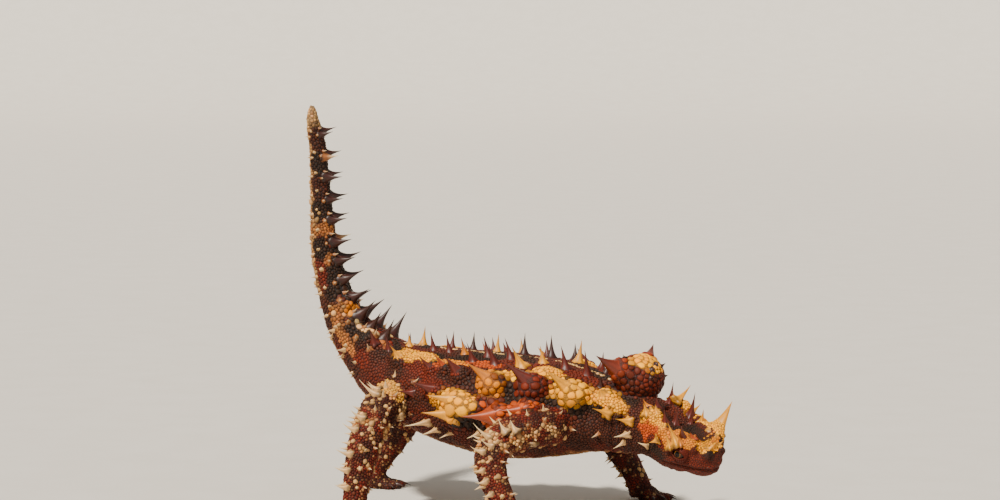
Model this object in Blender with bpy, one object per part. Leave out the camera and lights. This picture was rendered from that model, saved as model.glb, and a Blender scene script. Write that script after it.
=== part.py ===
"""Thorny devil (Moloch horridus), an adult standing with its tail raised, at life size.

The body is one tube of rounded sections that runs from the tail's tip to the snout, and each leg is another.
Both are parted into named lengths by thin gaps. Conical thorns stand in rows on them, each rooted in its length.
X points forwards at the hips, Y to the animal's left and Z up. The soles rest on Z = 0.
"""

import math
import random

import bmesh
import bpy
from mathutils import Matrix, Vector

# Sizes are in millimetres, and angles in degrees.
MM = 0.001
GAP = 0.3
CENTRE = Vector((3.39, -10.24, 0.0))
ROUNDNESS = 2.3
SEED = 41

# The middle line from the tail's tip to the snout: place, half width, half height, heading and roll.
BODY = (
    (-49.4, 8.0, 104.4, 0.9, 0.9, -6, 0),
    (-49.2, 8.0, 101.4, 1.8, 1.8, -6, 0),
    (-47.8, 8.0, 92.5, 2.4, 2.4, -6, 0),
    (-47.1, 8.0, 79.5, 2.9, 2.9, -6, 0),
    (-46.1, 8.0, 66.5, 3.7, 3.7, -8, 0),
    (-43.2, 7.0, 54.7, 4.7, 4.5, -10, 0),
    (-39.5, 5.5, 46.1, 6.0, 5.5, -12, 0),
    (-34.1, 4.0, 39.7, 8.2, 7.2, -14, 0),
    (-27.0, 1.0, 34.2, 11.5, 9.4, -16, 0),
    (-14.1, -3.5, 30.2, 17.5, 11.8, -20, 0),
    (3.1, -11.0, 27.8, 21.0, 13.2, -24, 0),
    (15.4, -17.5, 27.8, 18.5, 12.3, -28, 0),
    (24.4, -23.0, 27.4, 13.5, 10.2, -31, 0),
    (33.0, -29.0, 25.9, 8.8, 8.0, -36, 2),
    (39.2, -33.4, 24.7, 7.6, 7.2, -41, 5),
    (45.0, -38.0, 21.4, 7.9, 6.1, -45, 8),
    (49.2, -42.2, 19.9, 7.2, 5.6, -45, 8),
    (51.0, -44.0, 18.2, 5.3, 4.6, -45, 8),
    (52.1, -45.1, 17.3, 4.2, 3.7, -45, 8),
    (52.9, -45.9, 17.0, 3.0, 2.7, -45, 8),
    (53.4, -46.4, 16.9, 1.7, 1.5, -45, 8),
)
HIPS_STATION = 8
# The stretch of the body that the legs and the knob are cut clear of, and how much more than the gap.
TRUNK_CUTTER = (-20.0, 78.0)
CUTTER_SPARE = 0.05

# How many sides and how far between rings the skins have, and columns and rows of the small balls.
TRUNK_MESH = (20, 3.4)
TAIL_MESH = (10, 4.2)
HEAD_MESH = (22, 1.8)
LEG_MESH = (12, 3.4)
ANKLE_MESH = (10, 2.4)
CUTTER_MESH = (28, 2.6)
# The slices of a tube that a spot is tested against: their spacing, and how far each reaches.
SLICE_STEP = 1.0
SLICE_REACH = 0.8
SMALL_BALL = (10, 6)

# Lengths of the body, by distance in front of the hips.
LENGTHS = (
    ("tail_tip", -77.0, -46.5),
    ("tail_middle", -46.5, -24.5),
    ("tail_base", -24.5, -7.5),
    ("hips", -7.5, 14.6),
    ("belly", 14.6, 40.4),
    ("chest", 40.4, 61.0),
    ("neck", 61.0, 76.5),
    ("head", 76.5, 96.8),
)

# Each leg's middle line from inside the trunk to the sole: place, half width and half height.
LEGS = {
    "foreleg_right": (
        (17.0, -24.0, 26.5, 5.2, 5.0),
        (12.0, -33.5, 25.5, 5.2, 5.0),
        (4.5, -38.4, 24.4, 4.8, 4.6),
        (-0.6, -41.0, 22.0, 4.5, 4.3),
        (-2.4, -43.2, 17.6, 4.1, 4.0),
        (-1.2, -45.4, 12.8, 3.7, 3.6),
        (1.2, -47.6, 7.4, 3.3, 3.1),
        (2.4, -48.6, 1.6, 3.4, 3.0),
    ),
    "foreleg_left": (
        (24.0, -16.0, 25.5, 5.0, 4.8),
        (27.0, -8.0, 24.5, 5.0, 4.8),
        (28.4, 2.0, 22.8, 4.6, 4.4),
        (28.8, 7.4, 20.4, 4.4, 4.2),
        (30.2, 10.2, 16.0, 4.0, 3.9),
        (32.8, 10.2, 11.4, 3.6, 3.5),
        (35.8, 9.2, 6.6, 3.2, 3.1),
        (37.6, 8.6, 1.6, 3.3, 3.0),
    ),
    "hindleg_right": (
        (-24.0, -3.0, 30.0, 6.0, 6.4),
        (-27.4, -10.5, 28.6, 5.6, 6.0),
        (-30.6, -18.6, 26.6, 5.1, 5.4),
        (-32.8, -23.6, 23.6, 4.7, 4.9),
        (-34.4, -26.6, 18.8, 4.4, 4.4),
        (-35.6, -28.0, 13.4, 3.9, 3.9),
        (-36.6, -29.0, 7.4, 3.3, 3.3),
        (-36.8, -29.4, 1.6, 3.4, 3.2),
    ),
    "hindleg_left": (
        (-20.0, 4.0, 30.0, 6.0, 6.4),
        (-20.6, 11.0, 28.2, 5.6, 6.0),
        (-22.2, 18.8, 25.4, 5.1, 5.4),
        (-24.2, 23.6, 22.0, 4.7, 4.9),
        (-26.8, 26.6, 17.2, 4.3, 4.3),
        (-29.8, 28.0, 12.2, 3.8, 3.8),
        (-33.2, 29.2, 6.8, 3.3, 3.3),
        (-34.6, 29.6, 1.6, 3.4, 3.2),
    ),
}
LEG_HEADING = {"right": -90, "left": 90}
LEG_PARTS = {"foreleg": ("upper_arm", "forearm", "forefoot"), "hindleg": ("thigh", "shank", "hindfoot")}
KNEE_STATION = 4
ANKLE_STATION = 6

# Each foot: heading of its middle toe, palm's half length and half width, and its toes' lengths.
FEET = {
    "foreleg_right": (-28, 3.0, 3.3, (2.8, 3.6, 4.0, 3.6, 2.8)),
    "foreleg_left": (-22, 3.0, 3.3, (2.8, 3.6, 4.0, 3.6, 2.8)),
    "hindleg_right": (-24, 3.4, 3.2, (2.6, 3.6, 4.4, 4.2, 3.2)),
    "hindleg_left": (2, 3.4, 3.2, (3.2, 4.2, 4.4, 3.6, 2.6)),
}
TOE_SPREAD = 27
TOE_RADIUS = 1.2
# Along each toe: share of its length, radius against the toe's, and height above the floor.
TOE_RINGS = ((0.0, 1.15, 1.6), (0.55, 1.0, 1.1), (1.0, 0.75, 0.9))
TOE_SIDES = 6
TOE_ROOT = 0.62
PALM_AHEAD = 0.55
PALM_HEIGHT = 1.9
PALM_THICKNESS = 2.5
CLAW_LENGTH = 2.3
CLAW_RADIUS = 0.72
CLAW_DEPTH = 0.5
CLAW_HEIGHT = 1.25
CLAW_OVERLAP = 0.6
CLAW_RISE = Vector((0, 0, 0.18))
CLAW_BEND = Vector((0, 0, -0.42))
CLAW_RINGS = ((0.5, 0.66),)
CLAW_SIDES = 4
# The block below the floor: its reach about a foot, and its depth.
FLOOR_BLOCK = (30.0, 6.0)

# Thorns of the trunk, in rows down each flank: angle from the midline of the back, first and last place,
# spacing, length, base radius, and how far the thorn leans to the tail.
TRUNK_ROWS = (
    (14, 6.0, 58.5, 6.5, 4.4, 1.25, 0.25),
    (30, 11.0, 57.0, 6.5, 2.6, 1.05, 0.30),
    (71, 8.0, 58.0, 5.8, 1.7, 1.20, 0.40),
    (108, 3.5, 49.0, 5.0, 2.6, 1.00, 0.90),
    (128, 6.0, 50.0, 7.4, 1.3, 0.85, 0.60),
)
# Single thorns of each flank: place, angle, length, base radius and lean.
FLANK_THORNS = (
    (-3.5, 40, 3.4, 1.3, 0.5),
    (3.5, 48, 4.0, 1.6, 0.5),
    (10.5, 50, 3.6, 1.5, 0.6),
    (18.5, 50, 4.0, 1.7, 0.6),
    (25.5, 50, 4.6, 1.9, 0.7),
    (35.0, 50, 7.0, 2.7, 0.8),
    (46.0, 50, 7.2, 2.8, 0.8),
    (55.5, 52, 7.4, 3.0, 0.8),
    (10.5, 88, 3.4, 1.5, 0.9),
    (18.0, 76, 4.6, 2.0, 1.1),
    (25.7, 90, 5.6, 2.8, 1.6),
    (37.4, 90, 6.2, 2.8, 1.5),
    (46.0, 86, 4.4, 2.4, 1.2),
    (54.5, 84, 3.4, 1.7, 0.8),
)
NECK_ROWS = (
    (40, 64.0, 74.5, 5.2, 2.8, 1.2, 0.3),
    (96, 64.0, 74.5, 4.8, 2.6, 1.1, 0.4),
)
NECK_THORNS = ((71.0, 68, 4.2, 2.7, 0.2), (64.4, 70, 3.6, 1.8, 0.7))

# Rows of thorns along the tail, alike on both sides: angle, spacing, length and base radius at the tail's
# root, and how far the right row is shifted past the left one.
TAIL_ROWS = ((19, 6.3, 5.2, 2.1, 2.0), (70, 5.4, 2.8, 1.25, 0.8), (126, 4.8, 1.7, 0.95, 0.6))
TAIL_TAPER = 0.42
TAIL_LEAN = -0.1
# How far the rows stay from the tail's tip, and where they end at its root.
TAIL_BARE_TIP = 3.6
TAIL_LAST = -8.5

# Thorns of the legs: angle from the outer side, length and base radius.
LEG_ROWS = ((0, 2.6, 1.15), (50, 2.8, 1.15), (98, 3.0, 1.1), (-48, 1.8, 0.95), (-96, 1.3, 0.8))
LEG_THORN_SPACING = 4.8
LEG_THORN_LOWEST = 4.5
LEG_THORN_LEAN = -0.1
# How far a row stays from the ends of its length, the shift of every other row, and the stray in angle.
LEG_ROW_START = 2.0
LEG_ROW_SHIFT = 2.0
LEG_ROW_END = 1.8
LEG_ROW_STRAY = 8
LEG_BARE_ROOT = 3.0

# Every thorn's root is sunk by up to this depth. Its direction strays by the sway, and its tip turns up by
# the lift. Below the short length a thorn is a plain cone, and above the broad radius it flares at its base.
THORN_DEPTH = 1.5
THORN_SWAY = 0.08
THORN_SIZES = (0.85, 1.15)
THORN_STRAY = 0.4
THORN_CLEARANCE = 0.5
THORN_SIDES = 5
BROAD_SIDES = 6
THORN_LIFT = Vector((0, 0, 0.12))
SHORT_THORN = 2.0
BROAD_THORN = 1.6
# The shape of a slim thorn, a broad one and a horn: share of its length, and width against its base.
SLIM_RINGS = ((0.38, 0.42),)
BROAD_RINGS = ((0.18, 0.66), (0.52, 0.25))
HORN_RINGS = ((0.14, 0.84), (0.36, 0.58), (0.66, 0.30))

KNOB_PLACE = Vector((35.2, -29.0, 36.9))
KNOB_RADII = Vector((6.5, 6.7, 6.3))
KNOB_HEADING = -36
KNOB_HORN = (8.4, 3.0)
KNOB_HORN_SIDES = 9
KNOB_THORN = (2.0, 1.0)
KNOB_THORN_SIZES = (0.8, 1.2)
KNOB_THORN_DEPTH = 0.9
# Directions of the knob's horns: ahead, to the left and above.
KNOB_HORNS = {"right": (-0.35, -0.8, 0.36), "left": (-0.25, 0.8, 0.42)}
KNOB_HORN_ROOT = 0.86
KNOB_SIDES = 18
KNOB_ROWS = 11
# Directions of the knob's small thorns: ahead, to the left and above.
KNOB_THORNS = (
    (0.8, 0.0, 0.6),
    (0.5, 0.6, 0.8),
    (0.5, -0.6, 0.8),
    (0.0, 0.25, 1.0),
    (-0.1, -0.35, 1.0),
    (-0.7, 0.0, 0.75),
    (0.9, 0.5, 0.1),
    (0.9, -0.5, 0.1),
    (0.35, -0.95, 0.1),
    (-0.9, 0.2, 0.2),
)
# The point between the eyes, and the way the head faces.
HEAD_PLACE = Vector((49.5, -42.5, 20.8))
HEAD_HEADING = -45
HEAD_PITCH = 22
HEAD_ROLL = 8
EYE_ALONG = 90.0
EYE_ANGLE = 80
EYE_RADIUS = 2.1
EYE_STANDS_OUT = 0.7
EYE_WAY = (0.12, 1.0, 0.12)
LID_RADIUS = 0.65
LID_REACH = (2.0, 1.55)
BROW_ALONG = 88.6
BROW_ANGLE = 46
BROW_RADII = Vector((3.4, 3.1, 2.1))
BROW_SINK = 0.7
# Each brow horn's root and tip from the point between the eyes (ahead, left, above), and its base radius.
BROW_HORNS = {
    "right": ((-1.4, -4.4, 2.6), (-0.8, -7.9, 8.2), 2.6),
    "left": ((-0.6, 4.6, 2.6), (-0.6, 9.3, 11.2), 3.0),
}
BROW_HORN_BEND = 0.5
BROW_HORN_DEPTH = 0.9
BROW_HORN_SIDES = 8
TEMPLE_ALONG = 83.6
TEMPLE_ANGLE = 66
TEMPLE_RADII = Vector((2.6, 1.6, 2.0))
NOSTRIL_ALONG = 94.8
NOSTRIL_ANGLE = 58
NOSTRIL_RADII = Vector((0.5, 0.7, 0.45))
# The mouth, from between the eyes: its ends ahead, and its drop at the back and at the front.
MOUTH_BACK = -4.6
MOUTH_FRONT = 7.4
MOUTH_DROP = (3.7, 2.1)
LIP_RADIUS = 0.7
LIP_SIDES = 5
# How far the lips start in front of the mouth's end, and the spacing of their rings.
LIP_START = 1.2
LIP_SPACING = 1.8
# The angles between which the lip lies, and how often that range is halved.
LIP_SEARCH = (50.0, 178.0)
HALVINGS = 24
# The block that holds the jaw: its reach ahead of the mouth, to each side and below the eyes.
JAW_BLOCK = (4.0, 12.0, 14.0)
# Columns and rows of the eye, its socket, the nostril and the lids.
EYE_MESH = (12, 7)
SOCKET_MESH = (14, 9)
NOSTRIL_MESH = (8, 5)
LID_MESH = (12, 5)
# Thorns of the head, alike on both sides: place, angle, length, base radius and lean to the tail.
HEAD_THORNS = (
    (78.9, 27, 5.2, 1.5, 0.2),
    (79.3, 60, 4.4, 1.5, 0.5),
    (79.0, 98, 2.6, 1.1, 0.6),
    (84.2, 19, 5.6, 1.3, -0.1),
    (84.4, 60, 4.6, 2.1, 0.7),
    (93.2, 34, 1.5, 1.0, -0.2),
    (83.6, 112, 1.6, 0.9, 0.5),
)

HIDE_ROUGHNESS = 0.6
EYE_ROUGHNESS = 0.1
COLOURS = {
    "back": (0.42, 0.20, 0.09),
    "tail": (0.30, 0.16, 0.09),
    "limb": (0.38, 0.20, 0.10),
    "face": (0.40, 0.15, 0.07),
    "knob": (0.16, 0.07, 0.04),
    "horn": (0.62, 0.40, 0.13),
    "eye": (0.03, 0.02, 0.015),
}


def clear_scene():
    for old in list(bpy.data.objects):
        bpy.data.objects.remove(old, do_unlink=True)


class Tube:
    """A body or leg of rounded sections along a smooth line. Distances along it are in millimetres."""

    def __init__(self, stations, heading=None, start=0):
        self.stations = stations
        self.heading = heading
        self.knots = [0.0]
        for before, after in zip(stations, stations[1:]):
            step = (Vector(after[:3]) - Vector(before[:3])).length
            self.knots.append(self.knots[-1] + step)
        offset = self.knots[start]
        self.knots = [knot - offset for knot in self.knots]

    def values(self, along):
        """All the station values at a distance along the line, on a cubic through the stations."""
        knots = self.knots
        along = min(max(along, knots[0]), knots[-1])
        last = len(knots) - 2
        i = next((k for k in range(last + 1) if along <= knots[k + 1]), last)
        span = knots[i + 1] - knots[i]
        t = (along - knots[i]) / span
        result = []
        for column in range(len(self.stations[0])):
            here = self.stations[i][column]
            there = self.stations[i + 1][column]
            slope_in = self.slope(i, column) * span
            slope_out = self.slope(i + 1, column) * span
            result.append(
                here * (2 * t**3 - 3 * t**2 + 1)
                + slope_in * (t**3 - 2 * t**2 + t)
                + there * (3 * t**2 - 2 * t**3)
                + slope_out * (t**3 - t**2)
            )
        return result

    def slope(self, i, column):
        low = max(i - 1, 0)
        high = min(i + 1, len(self.knots) - 1)
        rise = self.stations[high][column] - self.stations[low][column]
        return rise / (self.knots[high] - self.knots[low])

    def frame(self, along):
        """Centre, forward, left and up directions, and the half sizes, at a distance along the line."""
        step = 0.4
        values = self.values(along)
        ahead = Vector(self.values(along + step)[:3])
        behind = Vector(self.values(along - step)[:3])
        forward = (ahead - behind).normalized()
        heading = math.radians(values[5] if self.heading is None else self.heading)
        left = Vector((-math.sin(heading), math.cos(heading), 0.0))
        left = (left - forward * left.dot(forward)).normalized()
        up = forward.cross(left)
        if self.heading is None:
            turn = Matrix.Rotation(math.radians(values[6]), 3, forward)
            left = turn @ left
            up = turn @ up
        return Vector(values[:3]), forward, left, up, values[3], values[4]

    def point(self, along, angle, grow=0.0):
        """The skin's point at an angle from the top, turning to the right."""
        centre, _, left, up, half_width, half_height = self.frame(along)
        sine = math.sin(math.radians(angle))
        cosine = math.cos(math.radians(angle))
        power = 2 / ROUNDNESS
        aside = -math.copysign(abs(sine) ** power, sine) * (half_width + grow)
        above = math.copysign(abs(cosine) ** power, cosine) * (half_height + grow)
        return centre + left * aside + up * above

    def normal(self, along, angle):
        round_about = self.point(along, angle + 2) - self.point(along, angle - 2)
        onward = self.point(along + 0.5, angle) - self.point(along - 0.5, angle)
        outward = onward.cross(round_about).normalized()
        away = self.point(along, angle) - self.frame(along)[0]
        return outward if outward.dot(away) > 0 else -outward

    def covers(self, spot, margin):
        """Whether a spot lies inside the tube, or nearer to it than the margin."""
        along = self.knots[0]
        while along <= self.knots[-1]:
            centre, forward, left, up, half_width, half_height = self.frame(along)
            away = spot - centre
            if abs(away.dot(forward)) < SLICE_REACH:
                aside = away.dot(left) / (half_width + margin)
                above = away.dot(up) / (half_height + margin)
                if aside * aside + above * above < 1:
                    return True
            along += SLICE_STEP
        return False


def mesh_object(name, points, faces):
    """A mesh object from points in millimetres, moved to the part's own frame, its faces turned outwards."""
    mesh = bpy.data.meshes.new(name)
    mesh.from_pydata([(point - CENTRE) * MM for point in points], [], faces)
    work = bmesh.new()
    work.from_mesh(mesh)
    bmesh.ops.recalc_face_normals(work, faces=work.faces)
    work.to_mesh(mesh)
    work.free()
    made = bpy.data.objects.new(name, mesh)
    bpy.context.scene.collection.objects.link(made)
    return made


def loft(name, rings):
    """A closed skin over rings of points, with a flat face at each end."""
    sides = len(rings[0])
    points = [point for ring in rings for point in ring]
    faces = [tuple(range(sides)), tuple(range(len(points) - sides, len(points)))]
    for row in range(len(rings) - 1):
        for i in range(sides):
            j = (i + 1) % sides
            faces.append((row * sides + i, row * sides + j, (row + 1) * sides + j, (row + 1) * sides + i))
    return mesh_object(name, points, faces)


def spread(first, last, spacing):
    """Evenly spaced values from first to last, about the given spacing apart."""
    steps = max(1, round((last - first) / spacing))
    return [first + (last - first) * i / steps for i in range(steps + 1)]


def tube_length(name, tube, first, last, fineness, grow=0.0):
    """The closed skin of one length of a tube, made larger by grow."""
    sides, ring_spacing = fineness
    rings = [
        [tube.point(along, 360 * i / sides, grow) for i in range(sides)]
        for along in spread(first, last, ring_spacing)
    ]
    return loft(name, rings)


def ring_about(centre, axis, start, radius, sides):
    """A ring of points about an axis. Its first point lies to the side that start gives."""
    across = (start - axis * start.dot(axis)).normalized()
    beside = axis.cross(across)
    turns = [math.tau * i / sides for i in range(sides)]
    return [centre + (across * math.cos(turn) + beside * math.sin(turn)) * radius for turn in turns]


def cone(name, root, direction, bend, length, radius, depth, sides=THORN_SIDES, rings=SLIM_RINGS):
    """A tapered thorn: its root is sunk by depth, and its tip is pulled over by bend."""
    start = direction.orthogonal()
    points = ring_about(root - direction * depth, direction, start, radius * 1.08, sides)
    for share, width in rings:
        middle = root + direction * length * share + bend * length * share * share
        points += ring_about(middle, (direction + bend * share).normalized(), start, radius * width, sides)
    tip = root + direction * length + bend * length
    points.append(tip)
    faces = [tuple(range(sides))]
    rows = len(rings) + 1
    for row in range(rows - 1):
        for i in range(sides):
            j = (i + 1) % sides
            faces.append((row * sides + i, row * sides + j, (row + 1) * sides + j, (row + 1) * sides + i))
    for i in range(sides):
        j = (i + 1) % sides
        faces.append(((rows - 1) * sides + i, (rows - 1) * sides + j, rows * sides))
    return mesh_object(name, points, faces)


def ball(name, centre, radii, turn, columns=14, rows=8):
    """A closed ball with three half sizes, turned by a rotation."""
    points = [turn @ Vector((0, 0, radii.z)) + centre]
    for row in range(1, rows):
        down = math.pi * row / rows
        for i in range(columns):
            side = math.tau * i / columns
            spot = Vector((math.sin(down) * math.cos(side), math.sin(down) * math.sin(side), math.cos(down)))
            points.append(turn @ Vector((spot.x * radii.x, spot.y * radii.y, spot.z * radii.z)) + centre)
    points.append(turn @ Vector((0, 0, -radii.z)) + centre)
    faces = []
    for i in range(columns):
        j = (i + 1) % columns
        faces.append((0, 1 + i, 1 + j))
        for row in range(rows - 2):
            start = 1 + row * columns
            faces.append((start + i, start + columns + i, start + columns + j, start + j))
        start = 1 + (rows - 2) * columns
        faces.append((start + i, len(points) - 1, start + j))
    return mesh_object(name, points, faces)


def modify(target, operation, operand=None, collection=None, solver="EXACT"):
    """One Boolean on the target, applied."""
    modifier = target.modifiers.new("join", "BOOLEAN")
    modifier.operation = operation
    modifier.solver = solver
    if collection is None:
        modifier.object = operand
    else:
        modifier.operand_type = "COLLECTION"
        modifier.collection = collection
    bpy.context.view_layer.update()
    graph = bpy.context.evaluated_depsgraph_get()
    made = bpy.data.meshes.new_from_object(target.evaluated_get(graph))
    target.modifiers.clear()
    target.data = made


def keep_largest(target):
    """Leaves the largest closed surface of a mesh and drops the others."""
    work = bmesh.new()
    work.from_mesh(target.data)
    bmesh.ops.triangulate(work, faces=work.faces)
    bmesh.ops.remove_doubles(work, verts=work.verts, dist=1e-7)
    left_over = set(work.faces)
    surfaces = []
    while left_over:
        seed = left_over.pop()
        surface = {seed}
        edge_of_search = [seed]
        while edge_of_search:
            face = edge_of_search.pop()
            for edge in face.edges:
                for other in edge.link_faces:
                    if other in left_over:
                        left_over.discard(other)
                        surface.add(other)
                        edge_of_search.append(other)
        surfaces.append(surface)
    surfaces.sort(key=lambda faces: sum(face.calc_area() for face in faces))
    for surface in surfaces[:-1]:
        bmesh.ops.delete(work, geom=list(surface), context="FACES")
    work.to_mesh(target.data)
    work.free()


def fuse(target, pieces):
    """Joins the pieces to the target as one closed body. Where roots cross, EXACT leaves edges that touch."""
    group = bpy.data.collections.new(target.name + "_pieces")
    bpy.context.scene.collection.children.link(group)
    for piece in pieces:
        bpy.context.scene.collection.objects.unlink(piece)
        group.objects.link(piece)
    modify(target, "UNION", collection=group, solver="MANIFOLD")
    for piece in pieces:
        bpy.data.objects.remove(piece, do_unlink=True)
    bpy.data.collections.remove(group)
    keep_largest(target)


def cut(target, cutter, remove=True):
    """Takes the cutter's shape out of the target."""
    modify(target, "DIFFERENCE", operand=cutter, solver="MANIFOLD")
    if remove:
        bpy.data.objects.remove(cutter, do_unlink=True)
    keep_largest(target)


def finish(target, colour, roughness=HIDE_ROUGHNESS):
    """Gives a node its own material."""
    material = bpy.data.materials.new(target.name + "_surface")
    material.use_nodes = True
    shader = material.node_tree.nodes["Principled BSDF"]
    shader.inputs["Base Color"].default_value = (*COLOURS[colour], 1.0)
    shader.inputs["Roughness"].default_value = roughness
    shader.inputs["Metallic"].default_value = 0.0
    target.data.materials.clear()
    target.data.materials.append(material)


def thorn_on(tube, along, angle, length, radius, lean, chance, obstacles=()):
    """A thorn on a tube's skin, leaning to the tail end, or None where something else is in its way."""
    root = tube.point(along, angle)
    outward = tube.normal(along, angle)
    backward = -tube.frame(along)[1]
    length *= chance.uniform(*THORN_SIZES)
    sway = Vector((chance.uniform(-1, 1), chance.uniform(-1, 1), chance.uniform(-1, 1))) * THORN_SWAY
    direction = (outward + backward * lean / 2 + sway).normalized()
    bend = backward * lean / 2 + THORN_LIFT
    tip = root + (direction + bend) * length
    middle = root + direction * length * 0.5
    margin = radius + THORN_CLEARANCE
    if any(obstacle(spot, margin) for obstacle in obstacles for spot in (root, middle, tip)):
        return None
    depth = min(THORN_DEPTH, radius)
    if length < SHORT_THORN:
        return cone("thorn", root, direction, bend, length, radius, depth, rings=())
    if radius > BROAD_THORN:
        return cone("thorn", root, direction, bend, length, radius, depth, BROAD_SIDES, BROAD_RINGS)
    return cone("thorn", root, direction, bend, length, radius, depth)


def near_ball(centre, radii):
    """A test of whether a spot is inside a ball, or nearer to it than the margin."""
    reach = max(radii)
    return lambda spot, margin: (spot - centre).length < reach + margin


def fits(along, radius, first, last):
    return first + radius + GAP < along < last - radius - GAP


def trunk_thorns(body, name, first, last, chance, obstacles):
    """The thorns of one length of the trunk or neck, both flanks."""
    made = []
    rows = NECK_ROWS if name == "neck" else TRUNK_ROWS
    singles = NECK_THORNS if name == "neck" else FLANK_THORNS
    for side in (1, -1):
        spots = list(singles)
        for angle, start, end, spacing, length, radius, lean in rows:
            spots += [(along, angle, length, radius, lean) for along in spread(start, end, spacing)]
        for along, angle, length, radius, lean in spots:
            along += chance.uniform(-THORN_STRAY, THORN_STRAY)
            if fits(along, radius, first, last):
                made.append(thorn_on(body, along, side * angle, length, radius, lean, chance, obstacles))
    return [piece for piece in made if piece]


def tail_thorns(body, first, last, chance):
    """The thorns of one length of the tail, shorter and slimmer towards its tip."""
    made = []
    tip = LENGTHS[0][1]
    for angle, spacing, length, radius, shift in TAIL_ROWS:
        for along in spread(tip + TAIL_BARE_TIP, TAIL_LAST, spacing):
            taper = 1 - TAIL_TAPER * along / tip
            for side in (1, -1):
                place = along + side * shift / 2
                size = radius * taper
                if fits(place, size, first, last):
                    made.append(thorn_on(body, place, side * angle, length * taper, size, TAIL_LEAN, chance))
    return [piece for piece in made if piece]


def leg_thorns(leg, side, first, last, chance, obstacles):
    """The thorns of one length of a leg, longest behind it."""
    made = []
    for number, (angle, length, radius) in enumerate(LEG_ROWS):
        start = first + LEG_ROW_START + (number % 2) * LEG_ROW_SHIFT
        for along in spread(start, last - LEG_ROW_END, LEG_THORN_SPACING):
            if not fits(along, radius, first, last) or leg.point(along, angle).z < LEG_THORN_LOWEST:
                continue
            turned = side * (angle + chance.uniform(-LEG_ROW_STRAY, LEG_ROW_STRAY))
            made.append(thorn_on(leg, along, turned, length, radius, LEG_THORN_LEAN, chance, obstacles))
    return [piece for piece in made if piece]


def toe_pieces(root, heading, length):
    """One toe and its claw, lying on the floor and pointing along its heading."""
    forward = Vector((math.cos(math.radians(heading)), math.sin(math.radians(heading)), 0.0))
    up = Vector((0, 0, 1))
    rings = []
    for share, radius, height in TOE_RINGS:
        centre = root + forward * length * share
        centre.z = height
        rings.append(ring_about(centre, forward, up, radius * TOE_RADIUS, TOE_SIDES))
    end = root + forward * (length - CLAW_OVERLAP)
    end.z = CLAW_HEIGHT
    way = (forward + CLAW_RISE).normalized()
    claw = cone("claw", end, way, CLAW_BEND, CLAW_LENGTH, CLAW_RADIUS, CLAW_DEPTH, CLAW_SIDES, CLAW_RINGS)
    return [loft("toe", rings), claw]


def build_foot(leg_name, leg, node):
    """The foot: the end of the leg, the palm, five toes and claws, all flat on the floor."""
    heading, half_length, half_width, lengths = FEET[leg_name]
    forward = Vector((math.cos(math.radians(heading)), math.sin(math.radians(heading)), 0.0))
    ankle = Vector(leg.stations[-1][:3])
    palm_centre = ankle + forward * half_length * PALM_AHEAD
    palm_centre.z = PALM_HEIGHT
    turn = Matrix.Rotation(math.radians(heading), 3, "Z")
    foot = tube_length(node, leg, leg.knots[ANKLE_STATION] + GAP / 2, leg.knots[-1], ANKLE_MESH)
    pieces = [ball("palm", palm_centre, Vector((half_length, half_width, PALM_THICKNESS)), turn, *SMALL_BALL)]
    for number, length in enumerate(lengths):
        turned = heading + (2 - number) * TOE_SPREAD
        way = Vector((math.cos(math.radians(turned)), math.sin(math.radians(turned)), 0.0))
        root = palm_centre + way * half_width * TOE_ROOT
        pieces += toe_pieces(root, turned, length)
    fuse(foot, pieces)
    reach, depth = FLOOR_BLOCK
    cut(foot, mesh_object("floor_cutter", *slab(palm_centre, reach, -depth, 0.0)))
    return foot


def slab(centre, reach, low, high):
    """The corners and faces of an upright block about a place."""
    corners = [
        Vector((centre.x + i * reach, centre.y + j * reach, z))
        for z in (low, high)
        for i in (-1, 1)
        for j in (-1, 1)
    ]
    faces = [(0, 1, 3, 2), (4, 6, 7, 5), (0, 4, 5, 1), (2, 3, 7, 6), (0, 2, 6, 4), (1, 5, 7, 3)]
    return corners, faces


def build_leg(leg_name, leg, trunk_shape, trunk, chance):
    """The three nodes of one leg."""
    kind, side = leg_name.split("_")
    upper, lower, foot = (f"{part}_{side}" for part in LEG_PARTS[kind])
    knee = leg.knots[KNEE_STATION]
    ankle = leg.knots[ANKLE_STATION]
    half = GAP / 2
    first_node = tube_length(upper, leg, 0.0, knee - half, LEG_MESH)
    turning = 1 if side == "right" else -1
    fuse(first_node, leg_thorns(leg, turning, LEG_BARE_ROOT, knee, chance, [trunk.covers]))
    cut(first_node, trunk_shape, remove=False)
    second_node = tube_length(lower, leg, knee + half, ankle - half, LEG_MESH)
    fuse(second_node, leg_thorns(leg, turning, knee, ankle, chance, [trunk.covers]))
    cut(second_node, tube_length("knee_cutter", leg, LEG_BARE_ROOT, knee - half, LEG_MESH, GAP))
    third_node = build_foot(leg_name, leg, foot)
    for node in (first_node, second_node, third_node):
        finish(node, "limb")


def head_turn():
    """The rotation whose axes point ahead, to the left and above the head."""
    turn = Matrix.Rotation(math.radians(HEAD_HEADING), 3, "Z")
    pitch = Matrix.Rotation(math.radians(HEAD_PITCH), 3, "Y")
    return turn @ pitch @ Matrix.Rotation(math.radians(HEAD_ROLL), 3, "X")


def head_place(ahead, left, above):
    """A place given from the point between the eyes."""
    return HEAD_PLACE + head_turn() @ Vector((ahead, left, above))


def bead(name, path, radius, sides):
    """A thin closed tube along a path of points."""
    rings = []
    for i, spot in enumerate(path):
        onward = path[min(i + 1, len(path) - 1)] - path[max(i - 1, 0)]
        rings.append(ring_about(spot, onward.normalized(), Vector((0, 0, 1)), radius, sides))
    return loft(name, rings)


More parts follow.
